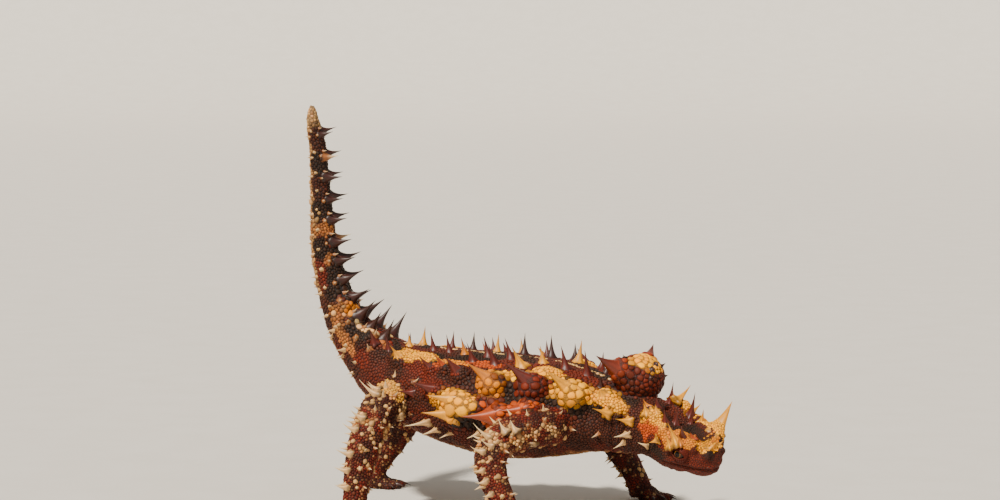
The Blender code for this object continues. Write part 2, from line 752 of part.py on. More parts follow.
def lid_ring(centre, outward, forward):
    """The rounded rim of both lids round one eye."""
    long_way = (forward - outward * forward.dot(outward)).normalized()
    short_way = outward.cross(long_way)
    columns, rows = LID_MESH
    points = []
    for i in range(columns):
        turn = math.tau * i / columns
        spoke = long_way * math.cos(turn) * LID_REACH[0] + short_way * math.sin(turn) * LID_REACH[1]
        for j in range(rows):
            lift = math.tau * j / rows
            swell = 1 + LID_RADIUS * math.cos(lift) / LID_REACH[0]
            points.append(centre + spoke * swell + outward * math.sin(lift) * LID_RADIUS)
    faces = []
    for i in range(columns):
        k = (i + 1) % columns
        for j in range(rows):
            m = (j + 1) % rows
            faces.append((i * rows + j, i * rows + m, k * rows + m, k * rows + j))
    return mesh_object("lids", points, faces)


def mouth_height(ahead):
    """How far the line of the mouth lies below the middle of the head, at a distance ahead of the eyes."""
    share = (ahead - MOUTH_BACK) / (MOUTH_FRONT - MOUTH_BACK)
    return -MOUTH_DROP[0] + (MOUTH_DROP[0] - MOUTH_DROP[1]) * share


def jaw_block(grow):
    """The block that holds the lower jaw, made larger above and behind by grow."""
    ahead, half_width, drop = JAW_BLOCK
    front = MOUTH_FRONT + ahead
    back = MOUTH_BACK - grow
    corners = []
    for aside in (-half_width, half_width):
        corners.append(head_place(back, aside, mouth_height(back) + grow))
        corners.append(head_place(front, aside, mouth_height(front) + grow))
        corners.append(head_place(front, aside, -drop))
        corners.append(head_place(back, aside, -drop))
    faces = [(0, 1, 2, 3), (4, 5, 6, 7), (0, 1, 5, 4), (1, 2, 6, 5), (2, 3, 7, 6), (3, 0, 4, 7)]
    return mesh_object("jaw_block", corners, faces)


def lip_point(body, along, side):
    """Where the line of the mouth meets the skin on one side."""
    to_head = head_turn().transposed()
    low, high = LIP_SEARCH
    for _ in range(HALVINGS):
        angle = (low + high) / 2
        away = to_head @ (body.point(along, side * angle) - HEAD_PLACE)
        if away.z > mouth_height(away.x):
            low = angle
        else:
            high = angle
    return body.point(along, side * angle)


def brow_horn(body, name, brow):
    """One curved horn over an eye, from its root to its tip, seated on the brow's lump."""
    turn = head_turn()
    root, tip, radius = BROW_HORNS[name]
    root, tip = head_place(*root), head_place(*tip)
    bend = turn @ Vector((0, 0, BROW_HORN_BEND))
    span = tip - root
    lifted = span.dot(bend)
    straight = span.length_squared
    length = straight / (lifted + math.sqrt(lifted**2 + straight * (1 - BROW_HORN_BEND**2)))
    way = span / length - bend
    horn = cone(
        "brow_horn_" + name, root, way, bend, length, radius, BROW_HORN_DEPTH, BROW_HORN_SIDES, HORN_RINGS
    )
    cut(horn, tube_length("head_cutter", body, LENGTHS[-1][1], LENGTHS[-1][2], HEAD_MESH, GAP))
    cut(horn, ball("brow_cutter", brow, BROW_RADII + Vector((GAP, GAP, GAP)), turn, *SMALL_BALL))
    finish(horn, "horn")


def build_head(body, chance):
    """The skull with lids, lips and nostrils, the lower jaw, both eyes and both brow horns."""
    _, first, last = LENGTHS[-1]
    turn = head_turn()
    forward = turn @ Vector((1, 0, 0))
    up = turn @ Vector((0, 0, 1))
    sides = ((1, "right"), (-1, "left"))
    head = tube_length("head", body, first + GAP / 2, last, HEAD_MESH)
    brows = {name: body.point(BROW_ALONG, side * BROW_ANGLE) - up * BROW_SINK for side, name in sides}
    eye_centres = {}
    pieces = []
    for side, name in sides:
        outward = turn @ Vector((EYE_WAY[0], -side * EYE_WAY[1], EYE_WAY[2])).normalized()
        rim = body.point(EYE_ALONG, side * EYE_ANGLE)
        eye_centres[name] = rim - outward * (EYE_RADIUS - EYE_STANDS_OUT)
        pieces.append(lid_ring(rim, outward, forward))
        pieces.append(ball("brow", brows[name], BROW_RADII, turn, *SMALL_BALL))
        temple = body.point(TEMPLE_ALONG, side * TEMPLE_ANGLE)
        pieces.append(ball("temple", temple, TEMPLE_RADII, turn, *SMALL_BALL))
    line = spread(EYE_ALONG + MOUTH_BACK + LIP_START, last, LIP_SPACING)
    path = [lip_point(body, along, 1) for along in line]
    path += [lip_point(body, along, -1) for along in reversed(line)]
    pieces.append(bead("lips", path, LIP_RADIUS, LIP_SIDES))
    knob = near_ball(KNOB_PLACE, KNOB_RADII)
    for along, angle, length, radius, lean in HEAD_THORNS:
        for side in (1, -1):
            pieces.append(thorn_on(body, along, side * angle, length, radius, lean, chance, [knob]))
    fuse(head, [piece for piece in pieces if piece])
    for side, name in sides:
        grown = Vector((1, 1, 1)) * (EYE_RADIUS + GAP)
        cut(head, ball("socket", eye_centres[name], grown, turn, *SOCKET_MESH))
        nostril = body.point(NOSTRIL_ALONG, side * NOSTRIL_ANGLE)
        cut(head, ball("nostril", nostril, NOSTRIL_RADII, turn, *NOSTRIL_MESH))
        eye = ball("eye_" + name, eye_centres[name], Vector((1, 1, 1)) * EYE_RADIUS, turn, *EYE_MESH)
        finish(eye, "eye", EYE_ROUGHNESS)
        brow_horn(body, name, brows[name])
    jaw = bpy.data.objects.new("lower_jaw", head.data.copy())
    bpy.context.scene.collection.objects.link(jaw)
    block = jaw_block(0.0)
    modify(jaw, "INTERSECT", operand=block)
    bpy.data.objects.remove(block, do_unlink=True)
    keep_largest(jaw)
    cut(head, jaw_block(GAP))
    finish(head, "face")
    finish(jaw, "face")


def build_knob(trunk_shape, chance):
    """The knob behind the head and its two horns."""
    heading = math.radians(KNOB_HEADING)
    forward = Vector((math.cos(heading), math.sin(heading), 0.0))
    left = Vector((-math.sin(heading), math.cos(heading), 0.0))
    turn = Matrix((forward, left, Vector((0, 0, 1)))).transposed()
    knob = ball("nuchal_knob", KNOB_PLACE, KNOB_RADII, turn, KNOB_SIDES, KNOB_ROWS)
    pieces = []
    for place in KNOB_THORNS:
        way = turn @ Vector(place).normalized()
        length = KNOB_THORN[0] * chance.uniform(*KNOB_THORN_SIZES)
        root = KNOB_PLACE + way * KNOB_RADII.z
        pieces.append(cone("thorn", root, way, THORN_LIFT, length, KNOB_THORN[1], KNOB_THORN_DEPTH))
    fuse(knob, pieces)
    cut(knob, trunk_shape, remove=False)
    finish(knob, "knob")
    for name, place in KNOB_HORNS.items():
        way = turn @ Vector(place).normalized()
        root = KNOB_PLACE + way * KNOB_RADII.x * KNOB_HORN_ROOT
        length, radius = KNOB_HORN
        horn_name = "knob_horn_" + name
        horn = cone(horn_name, root, way, THORN_LIFT, length, radius, THORN_DEPTH, KNOB_HORN_SIDES, HORN_RINGS)
        grown = KNOB_RADII + Vector((GAP, GAP, GAP))
        cut(horn, ball("knob_cutter", KNOB_PLACE, grown, turn, KNOB_SIDES, KNOB_ROWS))
        finish(horn, "horn")


def build_trunk(body, legs, chance):
    """The lengths of the trunk, neck and tail, with their thorns."""
    knob = near_ball(KNOB_PLACE, KNOB_RADII)
    obstacles = [leg.covers for leg in legs.values()] + [knob]
    for name, first, last in LENGTHS[:-1]:
        half = GAP / 2
        in_tail = name.startswith("tail")
        start = first if name == "tail_tip" else first + half
        node = tube_length(name, body, start, last - half, TAIL_MESH if in_tail else TRUNK_MESH)
        if in_tail:
            pieces = tail_thorns(body, first, last, chance)
        else:
            pieces = trunk_thorns(body, name, first, last, chance, obstacles)
        fuse(node, pieces)
        finish(node, "tail" if in_tail else "back")


def build():
    clear_scene()
    chance = random.Random(SEED)
    body = Tube(BODY, start=HIPS_STATION)
    legs = {name: Tube(stations, LEG_HEADING[name.split("_")[1]]) for name, stations in LEGS.items()}
    trunk = Tube(BODY[HIPS_STATION - 2 : HIPS_STATION + 7])
    build_trunk(body, legs, chance)
    trunk_shape = tube_length("trunk_cutter", body, *TRUNK_CUTTER, CUTTER_MESH, GAP + CUTTER_SPARE)
    build_knob(trunk_shape, chance)
    for name, leg in legs.items():
        build_leg(name, leg, trunk_shape, trunk, chance)
    bpy.data.objects.remove(trunk_shape, do_unlink=True)
    build_head(body, chance)


build()
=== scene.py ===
import math
import random

import bmesh
import bpy
import numpy as np
from mathutils import Matrix, Vector, noise
from mathutils.bvhtree import BVHTree
from mathutils.kdtree import KDTree


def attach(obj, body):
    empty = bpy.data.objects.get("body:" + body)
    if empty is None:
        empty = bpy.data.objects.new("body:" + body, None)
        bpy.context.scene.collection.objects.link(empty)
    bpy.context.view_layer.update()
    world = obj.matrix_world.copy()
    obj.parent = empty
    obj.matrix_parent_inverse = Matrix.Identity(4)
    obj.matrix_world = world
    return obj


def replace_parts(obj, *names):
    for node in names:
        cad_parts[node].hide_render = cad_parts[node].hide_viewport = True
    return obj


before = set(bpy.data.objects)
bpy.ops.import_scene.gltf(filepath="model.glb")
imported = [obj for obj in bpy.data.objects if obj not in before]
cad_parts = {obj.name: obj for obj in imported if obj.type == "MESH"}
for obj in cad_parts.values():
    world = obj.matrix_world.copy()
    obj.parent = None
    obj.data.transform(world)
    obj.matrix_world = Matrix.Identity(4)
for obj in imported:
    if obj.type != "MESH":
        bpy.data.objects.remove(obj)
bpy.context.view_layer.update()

# The skin. One loose, dry hide covers the animal from the tail's tip to the snout, down all four legs and
# over the knob behind the head. It is extruded ring by ring along the lines of the body and legs, swollen
# into a knoll under each big thorn, fused by a fine remesh and then creased.
MM = 0.001
CENTRE = Vector((3.39, -10.24, 0.0))
ROUNDNESS = 2.3
# Place, half width, half height, heading and roll of each station from the tail's tip to the snout.
BODY_STATIONS = (
    (-49.4, 8.0, 104.4, 0.9, 0.9, -6, 0),
    (-49.2, 8.0, 101.4, 1.8, 1.8, -6, 0),
    (-47.8, 8.0, 92.5, 2.4, 2.4, -6, 0),
    (-47.1, 8.0, 79.5, 2.9, 2.9, -6, 0),
    (-46.1, 8.0, 66.5, 3.7, 3.7, -8, 0),
    (-43.2, 7.0, 54.7, 4.7, 4.5, -10, 0),
    (-39.5, 5.5, 46.1, 6.0, 5.5, -12, 0),
    (-34.1, 4.0, 39.7, 8.2, 7.2, -14, 0),
    (-27.0, 1.0, 34.2, 11.5, 9.4, -16, 0),
    (-14.1, -3.5, 30.2, 17.5, 11.8, -20, 0),
    (3.1, -11.0, 27.8, 21.0, 13.2, -24, 0),
    (15.4, -17.5, 27.8, 18.5, 12.3, -28, 0),
    (24.4, -23.0, 27.4, 13.5, 10.2, -31, 0),
    (33.0, -29.0, 25.9, 8.8, 8.0, -36, 2),
    (39.2, -33.4, 24.7, 7.6, 7.2, -41, 5),
    (45.0, -38.0, 21.4, 7.9, 6.1, -45, 8),
    (49.2, -42.2, 19.9, 7.2, 5.6, -45, 8),
    (51.0, -44.0, 18.2, 5.3, 4.6, -45, 8),
    (52.1, -45.1, 17.3, 4.2, 3.7, -45, 8),
    (52.9, -45.9, 17.0, 3.0, 2.7, -45, 8),
    (53.4, -46.4, 16.9, 1.7, 1.5, -45, 8),
)
HIPS_STATION = 8
LEG_STATIONS = {
    "foreleg_right": (
        (17.0, -24.0, 26.5, 5.2, 5.0),
        (12.0, -33.5, 25.5, 5.2, 5.0),
        (4.5, -38.4, 24.4, 4.8, 4.6),
        (-0.6, -41.0, 22.0, 4.5, 4.3),
        (-2.4, -43.2, 17.6, 4.1, 4.0),
        (-1.2, -45.4, 12.8, 3.7, 3.6),
        (1.2, -47.6, 7.4, 3.3, 3.1),
        (2.4, -48.6, 1.6, 3.4, 3.0),
    ),
    "foreleg_left": (
        (24.0, -16.0, 25.5, 5.0, 4.8),
        (27.0, -8.0, 24.5, 5.0, 4.8),
        (28.4, 2.0, 22.8, 4.6, 4.4),
        (28.8, 7.4, 20.4, 4.4, 4.2),
        (30.2, 10.2, 16.0, 4.0, 3.9),
        (32.8, 10.2, 11.4, 3.6, 3.5),
        (35.8, 9.2, 6.6, 3.2, 3.1),
        (37.6, 8.6, 1.6, 3.3, 3.0),
    ),
    "hindleg_right": (
        (-24.0, -3.0, 30.0, 6.0, 6.4),
        (-27.4, -10.5, 28.6, 5.6, 6.0),
        (-30.6, -18.6, 26.6, 5.1, 5.4),
        (-32.8, -23.6, 23.6, 4.7, 4.9),
        (-34.4, -26.6, 18.8, 4.4, 4.4),
        (-35.6, -28.0, 13.4, 3.9, 3.9),
        (-36.6, -29.0, 7.4, 3.3, 3.3),
        (-36.8, -29.4, 1.6, 3.4, 3.2),
    ),
    "hindleg_left": (
        (-20.0, 4.0, 30.0, 6.0, 6.4),
        (-20.6, 11.0, 28.2, 5.6, 6.0),
        (-22.2, 18.8, 25.4, 5.1, 5.4),
        (-24.2, 23.6, 22.0, 4.7, 4.9),
        (-26.8, 26.6, 17.2, 4.3, 4.3),
        (-29.8, 28.0, 12.2, 3.8, 3.8),
        (-33.2, 29.2, 6.8, 3.3, 3.3),
        (-34.6, 29.6, 1.6, 3.4, 3.2),
    ),
}
LEG_HEADING = {"right": -90, "left": 90}
# Heading of each foot's middle toe, the palm's half length and half width, and the toes' lengths.
FEET = {
    "foreleg_right": (-28, 3.0, 3.3, (2.8, 3.6, 4.0, 3.6, 2.8)),
    "foreleg_left": (-22, 3.0, 3.3, (2.8, 3.6, 4.0, 3.6, 2.8)),
    "hindleg_right": (-24, 3.4, 3.2, (2.6, 3.6, 4.4, 4.2, 3.2)),
    "hindleg_left": (2, 3.4, 3.2, (3.2, 4.2, 4.4, 3.6, 2.6)),
}
TOE_SPREAD = 27
PALM_SEAT, PALM_HEIGHT, PALM_THICKNESS, PALM_INSET = 0.55, 1.7, 2.2, 0.2
TOE_SEAT, TOE_SINK, TOE_JOINT_LENGTH, TOE_JOINT_WIDTH = 0.62, 0.5, 0.34, 0.92
# Share of a toe's length, height above the floor and half thickness at each joint.
TOE_JOINTS = ((0.25, 1.35, 1.3), (0.62, 1.15, 1.2), (1.0, 0.95, 1.0))


def turned(degrees, axis="Z"):
    return Matrix.Rotation(math.radians(degrees), 3, axis)


KNOB_PLACE = Vector((35.2, -29.0, 36.9))
KNOB_RADII = Vector((6.5, 6.7, 6.3))
KNOB_TURN = turned(-36)
HEAD_PLACE = Vector((49.5, -42.5, 20.8))
HEAD_TURN = turned(-45) @ turned(22, "Y") @ turned(8, "X")
SKIN_DEPTH = 0.3
SKIN_SIDES = 32
RING_STEP = 2.0
SKIN_VOXEL = 0.47
SOFTEN_FACTOR, SOFTEN_ROUNDS = 0.5, 7
# How far to either side a line's own direction and the ways along and round its surface are measured.
GLANCE, GLANCE_ONWARD, GLANCE_ANGLE = 0.4, 0.5, 2


class Line:
    """The middle line of the body or of a leg, with a rounded section at each distance along it."""

    def __init__(self, stations, heading=None, start=0):
        self.stations = stations
        self.heading = heading
        knots = [0.0]
        for before, after in zip(stations, stations[1:]):
            knots.append(knots[-1] + (Vector(after[:3]) - Vector(before[:3])).length)
        self.knots = [knot - knots[start] for knot in knots]
        self.trace = [self.section(along) for along in self.steps(1.0)]

    def steps(self, spacing, first=None, last=None):
        first = self.knots[0] if first is None else first
        last = self.knots[-1] if last is None else last
        count = max(1, round((last - first) / spacing))
        return [first + (last - first) * i / count for i in range(count + 1)]

    def slope(self, i, column):
        low = max(i - 1, 0)
        high = min(i + 1, len(self.knots) - 1)
        change = self.stations[high][column] - self.stations[low][column]
        return change / (self.knots[high] - self.knots[low])

    def values(self, along):
        """The station values at a distance, on a cubic through the stations."""
        knots = self.knots
        along = min(max(along, knots[0]), knots[-1])
        i = next((k for k in range(len(knots) - 1) if along <= knots[k + 1]), len(knots) - 2)
        span = knots[i + 1] - knots[i]
        t = (along - knots[i]) / span
        weights = (2 * t**3 - 3 * t**2 + 1, t**3 - 2 * t**2 + t, 3 * t**2 - 2 * t**3, t**3 - t**2)
        return [
            self.stations[i][c] * weights[0]
            + self.slope(i, c) * span * weights[1]
            + self.stations[i + 1][c] * weights[2]
            + self.slope(i + 1, c) * span * weights[3]
            for c in range(len(self.stations[0]))
        ]

    def section(self, along):
        """Distance, centre, forward, left and up directions, half width and half height."""
        values = self.values(along)
        before, after = (Vector(self.values(along + step)[:3]) for step in (-GLANCE, GLANCE))
        forward = (after - before).normalized()
        heading = math.radians(values[5] if self.heading is None else self.heading)
        left = Vector((-math.sin(heading), math.cos(heading), 0.0))
        left = (left - forward * left.dot(forward)).normalized()
        up = forward.cross(left)
        if self.heading is None:
            roll = Matrix.Rotation(math.radians(values[6]), 3, forward)
            left = roll @ left
            up = roll @ up
        return along, Vector(values[:3]), forward, left, up, values[3], values[4]

    def seat(self, along, sink):
        """The matrix that lays a unit ring on the section at a distance, sunk under the surface."""
        _, centre, forward, left, up, half_width, half_height = self.section(along)
        columns = (left * (half_width - sink), up * (half_height - sink), forward)
        turn = Matrix(columns).transposed() * MM
        return Matrix.Translation((centre - CENTRE) * MM) @ turn.to_4x4()

    def point(self, along, angle, above=0.0):
        """The surface's point at an angle from the top, turning to the right."""
        _, centre, _, left, up, half_width, half_height = self.section(along)
        sine = math.sin(math.radians(angle))
        cosine = math.cos(math.radians(angle))
        power = 2 / ROUNDNESS
        aside = -math.copysign(abs(sine) ** power, sine) * (half_width + above)
        height = up * math.copysign(abs(cosine) ** power, cosine) * (half_height + above)
        return centre + left * aside + height

    def outward(self, along, angle):
        round_about = self.point(along, angle + GLANCE_ANGLE) - self.point(along, angle - GLANCE_ANGLE)
        onward = self.point(along + GLANCE_ONWARD, angle) - self.point(along - GLANCE_ONWARD, angle)
        way = onward.cross(round_about).normalized()
        return way if way.dot(self.point(along, angle) - self.section(along)[1]) > 0 else -way


body = Line(BODY_STATIONS, start=HIPS_STATION)
legs = {name: Line(rows, LEG_HEADING[name.split("_")[1]]) for name, rows in LEG_STATIONS.items()}


def head_place(ahead, left, above):
    """A place given from the point between the eyes."""
    return HEAD_PLACE + HEAD_TURN @ Vector((ahead, left, above))


def in_metres(place):
    return (Vector(place) - CENTRE) * MM


def extruded(name, seats):
    """A closed tube, extruded from a ring that is laid on one seat after another."""
    bpy.ops.object.select_all(action="DESELECT")
    bpy.ops.mesh.primitive_circle_add(vertices=SKIN_SIDES, radius=1.0, fill_type="NGON")
    tube = bpy.context.object
    tube.name = name
    for corner in tube.data.vertices:
        for axis in (0, 1):
            corner.co[axis] = math.copysign(abs(corner.co[axis]) ** (2 / ROUNDNESS), corner.co[axis])
    before = Matrix.Identity(4)
    bpy.ops.object.mode_set(mode="EDIT")
    bpy.ops.mesh.select_all(action="SELECT")
    for number, seat in enumerate(seats):
        if number:
            bpy.ops.mesh.extrude_region_move()
        work = bmesh.from_edit_mesh(tube.data)
        rim = [corner for corner in work.verts if corner.select]
        bmesh.ops.transform(work, matrix=seat @ before.inverted(), verts=rim)
        bmesh.update_edit_mesh(tube.data)
        before = seat
    bpy.ops.mesh.select_all(action="SELECT")
    bpy.ops.mesh.normals_make_consistent(inside=False)
    bpy.ops.object.mode_set(mode="OBJECT")
    return tube


def swelling(name, place, radii, turn):
    """A smooth lump with three half sizes, turned by a rotation."""
    bpy.ops.object.select_all(action="DESELECT")
    bpy.ops.mesh.primitive_ico_sphere_add(
        subdivisions=3, radius=MM, location=in_metres(place), rotation=turn.to_euler(), scale=radii
    )
    lump = bpy.context.object
    lump.name = name
    return lump


def facing(outward, along):
    """The rotation whose third axis points outwards and whose first points along the body."""
    first = (along - outward * along.dot(outward)).normalized()
    return Matrix((first, outward.cross(first), outward)).transposed()


KNOLL_SINK, KNOLL_DEPTH = 0.8, 0.6
# Knolls of the back and flanks: place, angle, and half sizes along, across and out of the skin.
KNOLLS = (
    (2.0, 50, 3.6, 2.8, 1.5),
    (9.0, 38, 5.4, 3.0, 1.0),
    (14.5, 47, 2.6, 2.4, 1.4),
    (18.5, 46, 2.6, 2.4, 1.4),
    (24.5, 50, 3.0, 2.8, 1.9),
    (36.0, 55, 4.6, 3.6, 2.6),
    (46.8, 54, 4.4, 3.8, 2.6),
    (57.5, 58, 4.6, 4.0, 2.8),
    (18.5, 76, 3.4, 3.0, 1.6),
    (28.0, 87, 7.0, 4.2, 2.7),
    (41.5, 90, 5.0, 3.6, 2.2),
    (49.0, 88, 4.6, 3.2, 1.8),
    (49.0, 31, 4.0, 2.6, 1.0),
    (64.5, 48, 3.0, 3.0, 1.6),
    (67.5, 66, 3.4, 3.0, 1.5),
    (-12.0, 56, 3.0, 3.4, 1.2),
    (-24.0, 60, 2.0, 2.6, 0.8),
)
# Bulges of the head from the point between the eyes: ahead, to the side, above, and three half sizes.
HEAD_BULGES = (
    (-12.6, 4.8, 3.4, 3.6, 2.7, 2.7),
    (-7.0, 5.4, 2.0, 3.4, 2.4, 2.4),
    (-2.0, 4.7, 2.3, 5.2, 2.3, 2.5),
    (-4.2, 6.3, 1.2, 2.8, 1.9, 2.2),
    (3.8, 2.4, 1.3, 2.0, 1.6, 1.3),
    (-4.4, 6.4, -2.2, 3.2, 2.0, 2.4),
    (-7.6, 7.0, 0.0, 2.0, 1.5, 1.6),
)
# Thorns of both flanks: place, angle, length, foot radius, lean, colour, and the share of the thorn up to
# which plated skin climbs it.
FLANK_THORNS = (
    (2.0, 50, 3.0, 1.5, 0.5, "ochre", 0.0),
    (14.0, 50, 3.6, 1.7, 0.9, "russet", 0.15),
    (18.5, 46, 4.2, 1.7, 0.6, "orange", 0.2),
    (24.0, 50, 5.0, 2.1, 0.6, "russet", 0.2),
    (35.2, 54, 5.9, 2.8, 1.1, "gold", 0.3),
    (46.4, 53, 6.6, 3.0, 1.1, "russet", 0.22),
    (57.0, 56, 7.4, 3.0, 1.2, "ochre", 0.36),
    (18.0, 76, 4.6, 2.0, 1.1, "russet", 0.2),
    (25.6, 82, 4.6, 2.7, 1.8, "ochre", 0.42),
    (25.8, 94, 5.2, 2.9, 1.9, "ochre", 0.42),
    (39.0, 90, 5.9, 3.2, 1.8, "orange", 0.18),
    (46.0, 86, 4.4, 2.8, 1.5, "orange", 0.30),
    (17.0, 114, 4.6, 1.5, 1.3, "cream", 0.0),
    (20.0, 120, 3.6, 1.3, 1.1, "cream", 0.0),
    (24.5, 118, 2.8, 1.2, 0.9, "cream", 0.0),
    (66.5, 72, 4.0, 1.6, 1.0, "ochre", 0.0),
    (72.0, 76, 3.2, 1.6, 0.9, "ochre", 0.0),
    (72.0, 98, 3.2, 1.4, 0.9, "cream", 0.0),
    (71.0, 118, 2.8, 1.2, 0.9, "cream", 0.0),
    (65.0, 108, 2.2, 1.0, 0.8, "tan", 0.0),
    (-4.0, 40, 3.6, 1.5, 0.4, "russet", 0.0),
    (-9.0, 52, 3.6, 1.6, 0.4, "russet", 0.0),
    (-14.0, 118, 2.6, 1.1, 0.5, "cream", 0.0),
    (-19.0, 122, 2.4, 1.0, 0.4, "cream", 0.0),
    (4.5, 92, 3.0, 1.3, 0.9, "tan", 0.0),
    (10.0, 88, 3.6, 1.5, 0.9, "russet", 0.0),
    (33.0, 112, 2.8, 1.2, 1.0, "cream", 0.0),
    (38.5, 116, 2.6, 1.1, 1.0, "cream", 0.0),
    (11.0, 108, 3.0, 1.3, 1.0, "cream", 0.0),
    (64.0, 46, 2.2, 2.2, 0.6, "ochre", 0.3),
)
BOSS_FLARE, BOSS_SINK, BOSS_COLLAR = 1.2, 1.2, 1.18
# The way that each knob horn points, and both horns' length and foot radius.
KNOB_HORNS = {"right": (-0.35, -0.8, 0.36), "left": (-0.25, 0.8, 0.42)}
KNOB_HORN = (8.6, 3.4)
KNOB_HORN_ROOT, KNOB_HORN_COVER = 0.86, 0.30
# Each brow horn's root and tip from the point between the eyes, foot radius, and the colours of its plates
# and of its bare horn.
BROW_HORNS = {
    "right": ((-1.4, -4.4, 2.6), (-0.8, -7.9, 8.2), 2.7, "gold", "russet"),
    "left": ((-0.6, 4.6, 2.6), (-0.6, 9.3, 11.2), 3.6, "ochre", "ochre"),
}
BROW_BEND, BROW_COVER, BROW_FLAT = 0.5, 0.55, 0.62
# Share of a thorn's length, and width against its foot.
NEEDLE = (
    (0.0, 1.0), (0.06, 0.80), (0.14, 0.61), (0.25, 0.45),
    (0.38, 0.32), (0.55, 0.20), (0.75, 0.10), (0.92, 0.03),
)
BROAD = (
    (0.0, 1.0), (0.08, 0.92), (0.18, 0.78), (0.30, 0.62),
    (0.44, 0.45), (0.60, 0.29), (0.78, 0.14), (0.93, 0.045),
)
CRESCENT = (
    (0.0, 1.0), (0.07, 0.92), (0.16, 0.78), (0.26, 0.64), (0.38, 0.50),
    (0.50, 0.38), (0.63, 0.27), (0.78, 0.15), (0.92, 0.05),
)
LEAN_BEND = 0.35


def brow_line(root, tip):
    """A brow horn's root, starting way, bend and length."""
    root, tip = head_place(*root), head_place(*tip)
    bend = HEAD_TURN @ Vector((0, 0, BROW_BEND))
    span = tip - root
    spread = span.dot(bend)
    length = span.length_squared / (spread + math.sqrt(spread**2 + span.length_squared * (1 - BROW_BEND**2)))
    return root, span / length - bend, bend, length


def width_at(shape, share):
    """A thorn's width against its foot at a share of its length."""
    for (low, wide), (high, narrow) in zip(shape, shape[1:]):
        if share <= high:
            return wide + (narrow - wide) * (share - low) / (high - low)
    return 0.0


def thorn_way(line, along, angle, lean):
    """The way that a thorn on a line's surface starts, and how it bends on towards the tail."""
    outward = line.outward(along, angle)
    rear = -line.section(along)[2]
    return (outward + rear * lean / 2).normalized(), rear * lean * LEAN_BEND


def knob_horn(name):
    """A knob horn's root and the way it points."""
    way = KNOB_TURN @ Vector(KNOB_HORNS[name]).normalized()
    return KNOB_PLACE + way * KNOB_RADII.x * KNOB_HORN_ROOT, way


def plated_thorns():
    """The thorns that plates climb: root, way, length, foot radius, plated share, shape, flatness, colour."""
    rows = []
    for along, angle, length, radius, lean, tint, cover in FLANK_THORNS:
        for side in (1, -1) if cover > 0 else ():
            way, bend = thorn_way(body, along, side * angle, lean)
            way = (way + bend * cover).normalized()
            rows.append((body.point(along, side * angle), way, length, radius, cover, BROAD, 1.0, tint))
    for name in KNOB_HORNS:
        rows.append((*knob_horn(name), *KNOB_HORN, KNOB_HORN_COVER, BROAD, 1.0, "rust"))
    for root, tip, radius, tint, _ in BROW_HORNS.values():
        root, way, bend, length = brow_line(root, tip)
        way = (way + bend * BROW_COVER).normalized()
        rows.append((root, way, length, radius, BROW_COVER, CRESCENT, BROW_FLAT, tint))
    return rows


PLATED = plated_thorns()


def boss(root, way, length, radius, cover, shape, flat):
    """The plated foot of a big thorn: a cone of skin round its lower part."""
    top = width_at(shape, cover) * radius * BOSS_COLLAR
    depth = length * cover + BOSS_SINK
    middle = root + way * (depth / 2 - BOSS_SINK)
    turn = facing(way, HEAD_TURN @ Vector((1, 0, 0)) if flat < 1 else way.orthogonal())
    bpy.ops.object.select_all(action="DESELECT")
    bpy.ops.mesh.primitive_cone_add(
        vertices=20, radius1=radius * BOSS_FLARE * MM, radius2=top * MM, depth=depth * MM,
        location=in_metres(middle), rotation=turn.to_euler(), scale=(1.0, flat, 1.0),
    )
    return bpy.context.object


def toes(name):
    """A foot's palm, the palm's turn, and the turn and length of each toe."""
    heading, half_length, _, lengths = FEET[name]
    turn = turned(heading)
    palm = Vector(legs[name].stations[-1][:3]) + turn @ Vector((half_length * PALM_SEAT, 0, 0))
    ways = [turned(heading + (2 - number) * TOE_SPREAD) for number in range(len(lengths))]
    return palm, turn, list(zip(ways, lengths))


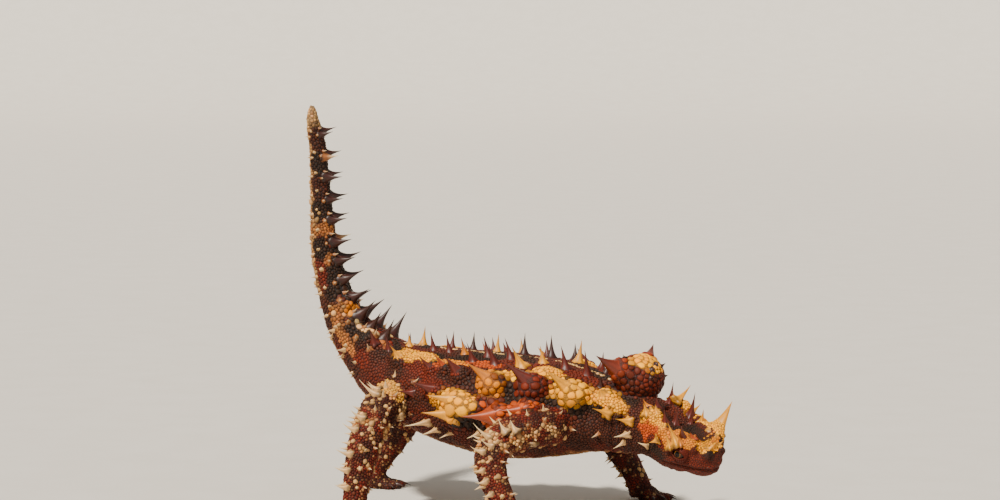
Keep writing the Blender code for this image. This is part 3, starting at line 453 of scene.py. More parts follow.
def build_skin():
    """The lumps and tubes of the whole animal, fused into one fine skin."""
    pieces = [extruded("skin", [body.seat(along, SKIN_DEPTH) for along in body.steps(RING_STEP)])]
    for name, leg in legs.items():
        pieces.append(extruded(name, [leg.seat(along, SKIN_DEPTH) for along in leg.steps(RING_STEP)]))
        half_length, half_width = FEET[name][1:3]
        palm, turn, each_toe = toes(name)
        palm.z = PALM_HEIGHT
        radii = (half_length - PALM_INSET, half_width - PALM_INSET, PALM_THICKNESS)
        pieces.append(swelling("palm", palm, radii, turn))
        for way, length in each_toe:
            for share, height, thick in TOE_JOINTS:
                joint = palm + way @ Vector((half_width * TOE_SEAT + length * share - TOE_SINK, 0, 0))
                joint.z = height
                radii = (length * TOE_JOINT_LENGTH, thick * TOE_JOINT_WIDTH, thick)
                pieces.append(swelling("toe", joint, radii, way))
    pieces.append(swelling("knob", KNOB_PLACE, KNOB_RADII - Vector((SKIN_DEPTH,) * 3), KNOB_TURN))
    for along, angle, half_long, half_wide, height in KNOLLS:
        for side in (1, -1):
            outward = body.outward(along, side * angle)
            place = body.point(along, side * angle) - outward * KNOLL_SINK
            turn = facing(outward, body.section(along)[2])
            pieces.append(swelling("knoll", place, (half_long, half_wide, height + KNOLL_DEPTH), turn))
    for ahead, aside, above, *radii in HEAD_BULGES:
        for side in (1, -1):
            pieces.append(swelling("bulge", head_place(ahead, side * aside, above), radii, HEAD_TURN))
    pieces += [boss(*row[:-1]) for row in PLATED]
    bpy.ops.object.select_all(action="DESELECT")
    for piece in pieces:
        piece.select_set(True)
    skin = pieces[0]
    bpy.context.view_layer.objects.active = skin
    bpy.ops.object.join()
    bpy.ops.object.transform_apply(location=True, rotation=True, scale=True)
    remesh = skin.modifiers.new("fuse", "REMESH")
    remesh.mode = "VOXEL"
    remesh.voxel_size = SKIN_VOXEL * MM
    bpy.ops.object.modifier_apply(modifier=remesh.name)
    smooth = skin.modifiers.new("soften", "SMOOTH")
    smooth.factor = SOFTEN_FACTOR
    smooth.iterations = SOFTEN_ROUNDS
    bpy.ops.object.modifier_apply(modifier=smooth.name)
    bpy.ops.object.shade_smooth()
    return skin


skin = build_skin()
ALL_LINES = [body, *legs.values()]
KNOB_PART = len(ALL_LINES)
KNOB_SHELL, KNOB_FLOOR = 1.08, 4.6
PART_END, PAST_END_COST = 1.5, 0.3
CHUNK = 8000


def read_points(mesh):
    """A mesh's corners in millimetres, as an array."""
    places = np.empty(len(mesh.vertices) * 3)
    mesh.vertices.foreach_get("co", places)
    return places.reshape(-1, 3) / MM + np.array(CENTRE)


def read_normals(mesh):
    ways = np.empty(len(mesh.vertices) * 3)
    mesh.vertex_normals.foreach_get("vector", ways)
    return ways.reshape(-1, 3)


def locate(points):
    """For each point: the part it lies on, its distance along that part's line and its angle from the top."""
    best = np.full(len(points), 1e9)
    part = np.zeros(len(points), int)
    along = np.zeros(len(points))
    angle = np.zeros(len(points))
    for number, line in enumerate(ALL_LINES):
        distances = np.array([row[0] for row in line.trace])
        centres, forwards, lefts, ups = (np.array([row[k][:] for row in line.trace]) for k in (1, 2, 3, 4))
        halves = np.array([row[5:7] for row in line.trace])
        for start in range(0, len(points), CHUNK):
            chunk = points[start : start + CHUNK]
            near = ((chunk[:, None, :] - centres[None]) ** 2).sum(axis=2).argmin(axis=1)
            away = chunk - centres[near]
            aside = (away * lefts[near]).sum(axis=1) / halves[near, 0]
            above = (away * ups[near]).sum(axis=1) / halves[near, 1]
            onward = (away * forwards[near]).sum(axis=1)
            sine = -np.sign(aside) * np.abs(aside) ** (ROUNDNESS / 2)
            cosine = np.sign(above) * np.abs(above) ** (ROUNDNESS / 2)
            past_end = np.maximum(np.abs(onward) - PART_END, 0)
            reach = (sine**2 + cosine**2) ** (1 / ROUNDNESS) + past_end * PAST_END_COST
            span = slice(start, start + len(chunk))
            closer = reach < best[span]
            best[span] = np.where(closer, reach, best[span])
            part[span] = np.where(closer, number, part[span])
            along[span] = np.where(closer, distances[near] + onward, along[span])
            angle[span] = np.where(closer, np.degrees(np.arctan2(sine, cosine)), angle[span])
    local = (points - np.array(KNOB_PLACE)) @ np.array(KNOB_TURN)
    reach = np.sqrt(((local / np.array(KNOB_RADII)) ** 2).sum(axis=1))
    knob = (reach < KNOB_SHELL) & (points[:, 2] > KNOB_PLACE.z - KNOB_FLOOR)
    part[knob] = KNOB_PART
    along[knob] = np.degrees(np.arctan2(local[knob, 1], local[knob, 0]))
    angle[knob] = np.degrees(np.arccos(np.clip(local[knob, 2] / KNOB_RADII.z, -1, 1)))
    return part, along, angle


def grain(points, size, seed):
    """Smooth noise between about -1 and 1 at each point, with features of about the given size."""
    shift = Vector((seed * 17.3, seed * 5.7, seed * 11.1))
    return np.array([noise.noise(Vector(point) / size + shift) for point in points])


def hill(distance, width):
    """One in the middle, falling away to nothing over about two widths."""
    return np.exp(-((distance / width) ** 2))


# Depth, size and seed of the hide's wrinkles.
WRINKLES = ((0.22, 3.2, 1), (0.12, 1.3, 2))
# Folds of the neck and of the flanks: place, spread, lowest and highest angle, depth, turns to a millimetre,
# and the size, seed and strength of their wander.
FOLDS = (
    (68, 7.0, 60, 181, 0.32, 2.1, 4.0, 3, 2.5),
    (30, 18.0, 95, 140, 0.25, 1.3, 5.0, 4, 3.0),
)
# The mouth's line from the point between the eyes: where it starts and ends, how far it lies below at each,
# and the depth and width of the slit and of the lip beside it.
MOUTH_BACK, MOUTH_FRONT = -4.6, 7.4
MOUTH_DROP = (3.7, 2.1)
SLIT_DEPTH, SLIT_WIDTH = 0.45, 0.28
LIP_HEIGHT, LIP_OFFSET, LIP_WIDTH = 0.22, 0.75, 0.4
TROUGH_DEPTH, TROUGH_WIDTH = 1.1, 2.0
NOSTRIL_PLACE = (5.3, 2.2, 1.3)
NOSTRIL_RADIUS, NOSTRIL_DEPTH = 0.42, 0.6
NOSTRIL_RIM_HEIGHT, NOSTRIL_RIM_RADIUS, NOSTRIL_RIM_WIDTH = 0.22, 1.1, 0.4
FACE_START, CROWN_START, CROWN_END = 84, 77, 93
FINE_SKIN = 0.6
# Hollows between the big thorns: place, angle, radius and depth.
HOLLOWS = (
    (62.5, 77, 3.6, 1.5),
    (52.0, 76, 2.6, 1.0),
    (41.5, 70, 3.0, 1.3),
    (30.5, 66, 2.6, 0.9),
    (20.0, 64, 2.6, 0.8),
    (12.0, 68, 3.0, 0.8),
    (33.0, 99, 3.4, 0.9),
    (-1.0, 66, 3.0, 0.9),
)


def from_head(points):
    """Places measured from the point between the eyes: ahead, to the left and above."""
    return (points - np.array(HEAD_PLACE)) @ np.array(HEAD_TURN)


def crease_skin():
    """Wrinkles, folds at the neck and in front of the legs, the mouth's line and the flat soles."""
    points = read_points(skin.data)
    normals = read_normals(skin.data)
    part, along, angle = locate(points)
    aside = np.abs(angle)
    on_body = part == 0
    lift = sum(depth * grain(points, size, seed) for depth, size, seed in WRINKLES)
    for place, spread, lowest, highest, depth, pitch, size, seed, wander in FOLDS:
        share = on_body * hill(along - place, spread) * (aside > lowest) * (aside < highest)
        lift += share * depth * np.sin(along * pitch + grain(points, size, seed) * wander)
    ahead, left, above = from_head(points).T
    down_the_mouth = (ahead - MOUTH_BACK) / (MOUTH_FRONT - MOUTH_BACK)
    off_line = np.abs(above + MOUTH_DROP[0] - (MOUTH_DROP[0] - MOUTH_DROP[1]) * down_the_mouth)
    face = on_body & (along > FACE_START)
    in_mouth = face & (ahead > MOUTH_BACK)
    lift -= in_mouth * SLIT_DEPTH * hill(off_line, SLIT_WIDTH)
    lift += in_mouth * LIP_HEIGHT * hill(off_line - LIP_OFFSET, LIP_WIDTH)
    for place, turn, radius, depth in HOLLOWS:
        for side in (1, -1):
            away = np.linalg.norm(points - np.array(body.point(place, side * turn)), axis=1)
            lift -= depth * hill(away, radius)
    for side in (1, -1):
        away = np.linalg.norm(from_head(points) - np.array(NOSTRIL_PLACE) * (1, side, 1), axis=1)
        lift -= NOSTRIL_DEPTH * hill(away, NOSTRIL_RADIUS)
        lift += NOSTRIL_RIM_HEIGHT * hill(away - NOSTRIL_RIM_RADIUS, NOSTRIL_RIM_WIDTH)
    crown = on_body & (along > CROWN_START) & (along < CROWN_END)
    lift -= crown * TROUGH_DEPTH * hill(left, TROUGH_WIDTH)
    lift = np.where((face & ~in_mouth) | (part == KNOB_PART), lift * FINE_SKIN, lift)
    points += normals * lift[:, None]
    points[:, 2] = np.maximum(points[:, 2], 0.0)
    places = (points - np.array(CENTRE)) * MM
    skin.data.vertices.foreach_set("co", places.ravel())
    skin.data.update()


crease_skin()

# The markings. The hide is patched in ochre yellow, russet and near-black brown with cream knobs, and every
# scale and thorn takes the colour of the patch it stands on. The patches are placed one by one along the body
# and round it, with edges that wander from scale to scale.


def linear(code):
    """A colour for the shaders, from its sRGB hex code."""
    parts = [int(code[i : i + 2], 16) / 255 for i in (1, 3, 5)]
    return np.array([c / 12.92 if c <= 0.04045 else ((c + 0.055) / 1.055) ** 2.4 for c in parts])


OCHRE = linear("#EE9E06")
GOLD = linear("#CC7404")
ORANGE = linear("#B04408")
RUSSET = linear("#5E1806")
BROWN = linear("#3A1206")
DARK = linear("#200B04")
CREAM = linear("#D4A468")
TAN = linear("#9C5C2A")
RUST = linear("#7E290A")
# The belly's pale colour, darkened as painted shade for the underside.
BELLY_WITH_PAINTED_SHADE = linear("#9C6E42")
TINTS = {
    "ochre": OCHRE, "gold": GOLD, "orange": ORANGE, "rust": RUST,
    "russet": RUSSET, "cream": CREAM, "tan": TAN,
}

# Patches of the body: place, angle, half length, half width round the body, and colour. The dark patches in the
# flanks' hollows and under the temple are painted shade.
PATCHES = (
    (6.5, 37, 8.0, 3.6, OCHRE),
    (20.0, 36, 5.0, 1.7, GOLD),
    (30.0, 30, 6.0, 2.0, ORANGE),
    (40.0, 22, 7.0, 2.6, RUSSET),
    (39.5, 43, 6.5, 2.2, OCHRE),
    (49.5, 32, 5.2, 3.2, OCHRE),
    (56.0, 22, 5.0, 2.6, RUSSET),
    (12.0, 56, 6.5, 3.0, RUSSET),
    (22.0, 58, 5.0, 3.0, BROWN),
    (36.0, 62, 5.0, 4.4, GOLD),
    # Painted shade: dark in the hollow at 41.5 mm.
    (43.0, 68, 3.2, 4.6, DARK),
    (47.5, 57, 4.4, 4.4, RUSSET),
    (57.5, 62, 5.4, 5.4, OCHRE),
    (64.5, 48, 3.6, 4.2, OCHRE),
    (67.5, 62, 3.6, 4.0, OCHRE),
    # Painted shade: the next two dark patches lie in the hollows at 62.5 and 52 mm.
    (62.5, 80, 4.4, 3.4, DARK),
    (52.0, 82, 4.0, 4.0, DARK),
    (17.5, 74, 4.6, 4.0, RUSSET),
    (26.0, 84, 7.0, 4.8, OCHRE),
    (40.5, 90, 5.6, 3.4, ORANGE),
    (48.0, 86, 5.6, 3.4, ORANGE),
    (33.0, 100, 9.0, 2.6, DARK),
    (68.0, 98, 8.0, 5.0, BROWN),
    (78.8, 50, 4.2, 3.4, OCHRE),
    (79.6, 74, 4.0, 3.0, ORANGE),
    (84.6, 58, 3.2, 3.4, GOLD),
    (92.2, 0, 1.5, 3.6, OCHRE),
    (92.8, 25, 1.5, 1.4, OCHRE),
    (90.4, 22, 1.2, 1.2, GOLD),
    (82.0, 80, 3.4, 2.4, RUSSET),
    # Painted shade: dark under the temple.
    (82.4, 94, 3.4, 1.6, DARK),
    (-3.5, 34, 4.6, 3.0, DARK),
    (-9.0, 30, 5.0, 4.0, RUSSET),
    (-10.0, 70, 5.0, 4.0, BROWN),
    (-17.0, 100, 7.0, 1.8, TAN),
    (-8.0, 92, 3.0, 2.4, RUSSET),
    (-16.0, 56, 4.6, 4.0, DARK),
    (-16.5, 47, 3.4, 1.1, CREAM),
    (-11.5, 37, 3.4, 1.1, CREAM),
    (-7.0, 38, 2.6, 1.2, TAN),
    (-22.5, 66, 2.2, 3.8, TAN),
    (-22.2, 60, 1.2, 1.7, CREAM),
    (-21.0, 30, 3.0, 3.4, GOLD),
    (-31.0, 84, 5.0, 3.2, DARK),
    (-34.0, 112, 6.0, 1.6, RUSSET),
    (-39.0, 74, 4.4, 1.2, TAN),
    (-40.5, 100, 3.0, 2.6, DARK),
    (-45.5, 84, 1.8, 4.6, TAN),
    (-50.5, 84, 3.0, 3.2, DARK),
    (-56.5, 78, 3.4, 3.0, BROWN),
    (-62.5, 84, 3.0, 3.0, DARK),
    (-69.0, 70, 3.0, 3.2, BROWN),
)
LINE_GIRTH = 57.3
FOOT_EDGE = 0.9
# How far each part leans to pale scales: the body, the right and left forelegs, the right and left hind legs
# and the knob. The far, left legs lean less than the near ones, which keeps them darker: painted shade. Low on a
# leg they grow fewer.
PALE_SHARES = (0.0, 0.05, -0.34, -0.16, -0.34, 0.0)
PALE_SHIN, PALE_SHIN_FADE, PALE_SHIN_LOSS = 20, 9, 0.4
PALE_FRAY, PALE_EDGE, PALE_BACK, ARM_TOP = 0.16, 6, 115, 25.6
TAIL_ROOT, BELLY_START, TAIL_GIRTH = -20, -20, (-78, 99)
PATCH_SIZE, PATCH_EDGE, PATCH_WANDER, PATCH_FRAY = 1.12, 4.5, 0.30, 0.12
FAR_SLIDE = 1.5
STRIPE_WIDTH, STRIPE_START, STRIPE_END = 0.42, -24, 62
# Painted shade: the middle, half length and half width of a dark strip along the crown's trough.
CROWN_SHADE_PLACE, CROWN_SHADE_LENGTH, CROWN_SHADE_HALF_WIDTH = 86.5, 4.4, 2.6
THIGH_PATCH, THIGH_PATCH_REACH, THIGH_PATCH_EDGE = 11.5, 4.6, 62
KNEE_BAND, KNEE_BAND_REACH = 19.0, 2.6
MOTTLE = 0.10


def rise(value, start, spread):
    """From 0 up to the start to 1 a spread beyond it."""
    return np.clip((value - start) / spread, 0, 1)


def blend(colours, share, colour):
    """Colours turned into another one by a share at each point."""
    share = share[:, None]
    return colours * (1 - share) + colour * share


def pale_patches(points, part, angle):
    """How far each point lies in a patch of pale, knobbly scales on the outer side of a leg."""
    outer = rise(-np.abs(angle), -PALE_BACK, 40)
    share = np.choose(part, PALE_SHARES)
    share = share - np.clip((PALE_SHIN - points[:, 2]) / PALE_SHIN_FADE, 0, PALE_SHIN_LOSS)
    patch = np.clip((grain(points, 3.0, 10) + share + PALE_FRAY * grain(points, 1.2, 11)) * PALE_EDGE, 0, 1)
    shoulder = ((part == 1) | (part == 2)) * rise(points[:, 2], ARM_TOP, 1.6)
    return np.where((part > 0) & (part < KNOB_PART), patch * outer * (1 - shoulder), 0.0)


def markings(points, part, along, angle):
    """The hide's colour at each point."""
    wander = grain(points, 2.2, 5)
    fine = grain(points, 0.9, 6)
    tone = rise(grain(points, 3.0, 9) * 2, -0.5, 1)
    aside = np.abs(angle)
    on_body = part == 0
    on_leg = (part > 0) & (part < KNOB_PART)
    on_hind_leg = on_leg & (part > 2)
    on_tail = on_body & (along < TAIL_ROOT)
    colours = blend(BROWN, rise(-aside, -70, 40), DARK)
    colours = blend(colours, rise(grain(points, 6.0, 7) * 2.2, -0.5, 1) * 0.6, RUSSET)
    # Painted shade: the pale belly starts only 140 degrees from the top, and 154 under the chest, so the lower
    # flanks keep the darker hide.
    belly_edge = 140 + 14 * rise(along, 30, 10)
    belly = on_body * rise(aside + wander * 18, belly_edge, 16) * (along > BELLY_START)
    belly_spots = rise(grain(points, 3.6, 8) * 3, -0.4, 1) * 0.7
    colours = blend(colours, belly, blend(BELLY_WITH_PAINTED_SHADE, belly_spots, BROWN))
    under_tail = on_tail * rise(aside + wander * 46, 97, 14) * rise(-along, 27, 8)
    colours = blend(colours, under_tail, (CREAM + TAN) * 0.46)
    colours = blend(colours, on_tail * rise(wander * 16 - aside, -64, 12), DARK)
    colours = blend(colours, on_tail * rise(wander * 5 - along, 71.5, 2.0) * 0.75, CREAM)
    low, high = TAIL_GIRTH
    girth = np.array([body.section(row)[5] for row in range(low, high)])
    radius = girth[np.clip(along.astype(int) - low, 0, len(girth) - 1)]
    for side, slide in ((1, 0.0), (-1, FAR_SLIDE)):
        for centre, turn, half_long, half_wide, colour in PATCHES:
            long_way = (along - centre - slide) / half_long
            round_way = (angle * side - turn) * radius / LINE_GIRTH / half_wide
            close = PATCH_SIZE - np.sqrt(long_way**2 + round_way**2) + wander * PATCH_WANDER
            share = on_body * np.clip((close + fine * PATCH_FRAY) * PATCH_EDGE, 0, 1)
            colours = blend(colours, share, colour)
    colours = blend(colours, on_body * rise(along, 86.5, 2) * rise(aside + wander * 8, 44, 8), RUSSET * 0.9)
    # Painted shade: the crown's trough between the brows is painted dark.
    middle = rise(wander - np.abs(from_head(points)[:, 1]), -CROWN_SHADE_HALF_WIDTH, 0.6)
    colours = blend(colours, on_body * hill(along - CROWN_SHADE_PLACE, CROWN_SHADE_LENGTH) * middle, DARK)
    stripe = (along > STRIPE_START) & (along < STRIPE_END) & (aside * radius / LINE_GIRTH < STRIPE_WIDTH)
    colours = blend(colours, on_body & stripe & (wander > -0.05), CREAM)
    warm = rise(grain(points, 1.1, 12) * 2, -0.35, 1)
    leg = blend(blend(BROWN, tone, RUSSET), pale_patches(points, part, angle), blend(CREAM, warm, TAN))
    top = rise(44 + 34 * np.cos(np.radians(along)) - angle + wander * 14, 0, 10)
    knob = blend(RUSSET * (0.55 + 0.4 * tone[:, None]) + DARK * 0.2, top, OCHRE)
    thigh = on_hind_leg & (np.abs(along - THIGH_PATCH) < THIGH_PATCH_REACH + wander)
    thigh = thigh & (aside < THIGH_PATCH_EDGE)
    knee = on_hind_leg & (np.abs(along - KNEE_BAND + wander) < KNEE_BAND_REACH)
    areas = [(on_leg, leg), (thigh, CREAM * 0.25 + OCHRE * 0.55), (knee, BROWN), (part == KNOB_PART, knob)]
    for root, way, length, radius, cover, _, _, tint in PLATED:
        away = points - np.array(root)
        onward = away @ np.array(way)
        off = np.linalg.norm(away - np.outer(onward, np.array(way)), axis=1)
        climbs = (onward > FOOT_EDGE + wander * 0.6) & (onward < length * cover + 1.5) & (off < radius * 1.3)
        areas.append((climbs, TINTS[tint]))
    for area, colour in areas:
        colours = np.where(area[:, None], colour, colours)
    return colours * (1 + MOTTLE * fine[:, None])


def paint(mesh, colours):
    """Stores a colour for each corner as the attribute that the hide's materials read."""
    layer = mesh.color_attributes.new("marking", "FLOAT_COLOR", "POINT")
    full = np.ones((len(colours), 4), np.float32)
    full[:, :3] = np.clip(colours, 0, 1)
    layer.data.foreach_set("color", full.ravel())


def store(mesh, name, values):
    layer = mesh.attributes.new(name, "FLOAT", "POINT")
    layer.data.foreach_set("value", np.asarray(values, np.float32))


def add_node(tree, kind, settings=None, links=()):
    """Adds a node with its settings, and links (output, input name or number) into it."""
    node = tree.nodes.new(kind)
    for key, value in (settings or {}).items():
        if isinstance(key, int) or key in node.inputs:
            node.inputs[key].default_value = value
        else:
            setattr(node, key, value)
    for output, socket in links:
        tree.links.new(output, node.inputs[socket])
    return node


def new_material(name):
    """An empty node material with its Principled shader."""
    material = bpy.data.materials.new(name)
    material.use_nodes = True
    tree = material.node_tree
    return material, tree, tree.nodes["Principled BSDF"]


def marked_coat(name, sources, shades, bump, roughness, gloss=0.5):
    """The marking's own colour, darker and lighter by the shades of each source and raised by one of them."""
    material, tree, shader = new_material(name)
    place = add_node(tree, "ShaderNodeTexCoord").outputs["Object"]
    colour = add_node(tree, "ShaderNodeAttribute", {"attribute_name": "marking"}).outputs["Color"]
    values = {}
    for source, (kind, output, settings) in sources.items():
        links = [(place, "Vector")] if "Scale" in settings else ()
        values[source] = add_node(tree, kind, settings, links).outputs[output]
    factor = None
    for source, *span in shades:
        settings = dict(zip(("From Min", "From Max", "To Min", "To Max"), span))
        shade = add_node(tree, "ShaderNodeMapRange", settings, [(values[source], "Value")]).outputs["Result"]
        if factor:
            links = [(factor, 0), (shade, 1)]
            shade = add_node(tree, "ShaderNodeMath", {"operation": "MULTIPLY"}, links).outputs["Value"]
        factor = shade
    tint = add_node(tree, "ShaderNodeMix", {"data_type": "RGBA", "blend_type": "MULTIPLY", "Factor": 1.0})
    tree.links.new(colour, tint.inputs["A"])
    tree.links.new(factor, tint.inputs["B"])
    tree.links.new(tint.outputs["Result"], shader.inputs["Base Color"])
    source, settings = bump
    raised = add_node(tree, "ShaderNodeBump", settings, [(values[source], "Height")])
    tree.links.new(raised.outputs["Normal"], shader.inputs["Normal"])
    shader.inputs["Roughness"].default_value = roughness
    shader.inputs["Specular IOR Level"].default_value = gloss
    return material


# Bare hide between the scales is leathery: dull, grained every 0.4 mm and clouded every 2.4 mm. Its colour is
# darkened to between about a fifth and seven tenths of the marking, so that the seams between the scales read
# dark: painted shade.
hide_in_painted_shade = marked_coat(
    "hide_in_painted_shade",
    {
        "grain": ("ShaderNodeTexVoronoi", "Distance", {"Scale": 2600.0, "feature": "F1"}),
        "cloud": ("ShaderNodeTexNoise", "Fac", {"Scale": 420.0, "Detail": 5.0}),
    },
    (("grain", 0.0, 0.7, 0.62, 0.25), ("cloud", 0.3, 0.7, 0.8, 1.15)),
    ("grain", {"Strength": 0.7, "Distance": 0.0002, "invert": True}),
    0.78,
)
skin_points = read_points(skin.data)
skin_part, skin_along, skin_angle = locate(skin_points)
paint(skin.data, markings(skin_points, skin_part, skin_along, skin_angle))
skin.data.materials.clear()
skin.data.materials.append(hide_in_painted_shade)
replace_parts(skin, "tail_tip", "tail_middle", "tail_base", "hips", "belly", "chest", "neck", "head", "lower_jaw")
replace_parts(skin, "nuchal_knob", "upper_arm_right", "upper_arm_left", "forearm_right", "forearm_left")
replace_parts(skin, "forefoot_right", "forefoot_left", "thigh_right", "thigh_left", "shank_right", "shank_left")
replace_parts(skin, "hindfoot_right", "hindfoot_left")
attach(skin, "root")

# The thorns. Each is one horny scale grown into a hollow cone, solid here, with a flared, fluted foot and a
# needle tip. They stand in the same rows as the solids' thorns, with the photo's lengths on each flank.
chance = random.Random(7)
DULL_TIP = linear("#2A130B")
PALE_TIP = linear("#E6CC9C")
# Thorns that scales keep off, and the big roots that plates ring.
bare_thorns = []
plated_roots = []
PLATED_RADIUS = 2.2
BROAD_RADIUS = 1.9
# Painted shade in the grooves of a thorn's flutes: the most that a groove is darkened at the foot.
GROOVE_PAINTED_SHADE = 0.45
FOOT_RING = (-0.16, 1.10)
TIP_FADE_START, TIP_FADE_LENGTH = 0.25, 0.6
THORN_SINK = 0.25
THORN_SWAY = 0.06
LOWEST = 0.00005
# Where the search for the skin over a root starts, in millimetres, and how far it goes, in metres.
SETTLE_START, SETTLE_REACH = 4.0, 0.008


def ring_faces(rings, sides, pointed=False):
    """Triangles between rings that follow one another, and on to a last point."""
    faces = []
    for row in range(rings - 1):
        for i in range(sides):
            a, b = row * sides + i, row * sides + (i + 1) % sides
            faces += [(a, b, b + sides), (a, b + sides, a + sides)]
    last = rings * sides
    if pointed:
        faces += [(last - sides + i, last - sides + (i + 1) % sides, last) for i in range(sides)]
    return faces


class Heap:
    """Collects the corners, triangles, colours and heights of many like small pieces for one mesh."""

    def __init__(self):
        self.points, self.faces, self.colours, self.heights, self.spots = [], [], [], [], []
        self.count = 0

    def add(self, points, faces, colours, heights, spots=None):
        self.points.append(points)
        self.faces.append(np.asarray(faces) + self.count)
        self.colours.append(colours)
        self.heights.append(heights)
        if spots is not None:
            self.spots.append(spots)
        self.count += len(points)

    def piece(self, name, material, slot):
        """One object of all that was added, riding on the body."""
        mesh = bpy.data.meshes.new(name)
        places = (np.concatenate(self.points) - np.array(CENTRE)) * MM
        places[:, 2] = np.maximum(places[:, 2], LOWEST)
        faces = np.concatenate(self.faces).astype(np.int32)
        mesh.vertices.add(len(places))
        mesh.vertices.foreach_set("co", places.astype(np.float32).ravel())
        mesh.loops.add(faces.size)
        mesh.loops.foreach_set("vertex_index", faces.ravel())
        mesh.polygons.add(len(faces))
        mesh.polygons.foreach_set("loop_start", np.arange(0, faces.size, 3, dtype=np.int32))
        mesh.update(calc_edges=True)
        mesh.polygons.foreach_set("use_smooth", np.ones(len(faces), bool))
        paint(mesh, np.concatenate(self.colours))
        store(mesh, "height", np.concatenate(self.heights))
        if self.spots:
            layer = mesh.uv_layers.new(name="OFBake")
            layer.data.foreach_set("uv", np.concatenate(self.spots)[faces.ravel()].astype(np.float32).ravel())
        made = bpy.data.objects.new(name, mesh)
        bpy.context.scene.collection.objects.link(made)
        mesh.materials.append(material)
        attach(made, "root")
        return made


def grow_thorn(
    heap, root, way, bend, length, radius, shape, foot, tip,
    sides=12, flutes=6, fluting=0.10, flat=1.0, start=None,
):
    """Adds one thorn: rings that follow a bent axis from a sunk foot to a sharp tip."""
    way = Vector(way).normalized()
    start = start or way.orthogonal().normalized()
    turns = np.arange(sides) * math.tau / sides
    points, heights, painted_groove_shade = [], [], []
    stops = (FOOT_RING, *shape)
    for share, width in stops:
        bent = max(share, 0.0)
        middle = np.array(root + way * length * share + bend * length * bent * bent)
        axis = (way + bend * 2 * bent).normalized()
        across = (start - axis * start.dot(axis)).normalized()
        beside = axis.cross(across)
        swell = 1 + fluting * (1 - bent) ** 2 * np.cos(turns * flutes)
        ring = np.outer(np.cos(turns) * swell, np.array(across))
        ring += np.outer(np.sin(turns) * swell * flat, np.array(beside))
        points.append(middle + ring * radius * width)
        heights += [bent] * sides
        # Painted shade in the flutes' grooves, fading out towards the tip.
        painted_groove_shade.append(1 - GROOVE_PAINTED_SHADE * (1 - bent) * (0.5 - 0.5 * np.cos(turns * flutes)))
    points.append(np.array([root + way * length + bend * length]))
    heights = np.array([*heights, 1.0])
    colours = blend(foot, rise(heights, TIP_FADE_START, TIP_FADE_LENGTH), tip)
    colours *= np.append(np.concatenate(painted_groove_shade), 1.0)[:, None]
    faces = ring_faces(len(stops), sides, pointed=True) + [(0, i + 1, i) for i in range(1, sides - 1)]
    heap.add(np.concatenate(points), faces, colours, heights)


def thorn_on(heap, line, along, angle, length, radius, lean, shape, foot, tip, lift=0.12, cover=0.0, **more):
    """Adds a thorn on a line's surface, leaning towards the tail end."""
    root = line.point(along, angle)
    way, bend = thorn_way(line, along, angle, lean)
    sway = Vector([chance.uniform(-THORN_SWAY, THORN_SWAY) for _ in range(3)])
    if cover == 0.0:
        way = (way + sway).normalized()
        root = settle(root, line.outward(along, angle))
    bend = bend + Vector((0, 0, lift))
    sunk = root - way * THORN_SINK
    grow_thorn(heap, sunk, way, bend, length + THORN_SINK, radius, shape, foot, tip, **more)
    keep_free(root, way, length, radius, cover)


def keep_free(root, way, length, radius, cover=0.0, ringed=True):
    """Keeps scales off the bare part of a thorn, and rings a big one with plates."""
    bare_thorns.append((root, way.normalized(), length, radius, cover))
    if ringed and radius > PLATED_RADIUS:
        plated_roots.append((root, radius))


skin_tree = BVHTree.FromPolygons(
    [corner.co for corner in skin.data.vertices], [tuple(face.vertices) for face in skin.data.polygons]
)


def settle(root, outward):
    """The place on the skin over or under a root, along its outward way."""
    start = in_metres(root + outward * SETTLE_START)
    hit = skin_tree.ray_cast(start, -outward, SETTLE_REACH)[0]
    return Vector(hit) / MM + CENTRE if hit else root


def dulled(colour, share):
    """A thorn tip's colour: the foot's, darkened by a share of dull brown."""
    return colour * (1 - share) + DULL_TIP * share


def tip_of(tint):
    return PALE_TIP if tint in ("cream", "tan") else dulled(TINTS[tint], 0.4)


HEIGHT = ("ShaderNodeAttribute", "Fac", {"attribute_name": "height"})


def horny(name, roughness, streak):
    """Keratin of thorns: satin, with growth streaks every 0.7 mm and clouds every 2 mm, darkened over the lowest
    eighth towards the foot where it meets the skin: painted shade.
    """
    return marked_coat(
        name,
        {
            "streaks": ("ShaderNodeTexNoise", "Fac", {"Scale": 1500.0, "Detail": 6.0, "Roughness": 0.65}),
            "cloud": ("ShaderNodeTexNoise", "Fac", {"Scale": 500.0, "Detail": 3.0}),
            "height": HEIGHT,
        },
        (
            ("streaks", 0.3, 0.7, 1 - streak, 1 + streak),
            ("cloud", 0.3, 0.7, 0.85, 1.15),
            # Painted shade: darker over the lowest eighth of the thorn, where it meets the skin.
            ("height", 0.0, 0.12, 0.45, 1.0),
        ),
        ("streaks", {"Strength": 0.35, "Distance": 0.0001}),
        roughness,
    )


thorn_horn = horny("thorn_keratin", 0.46, 0.16)
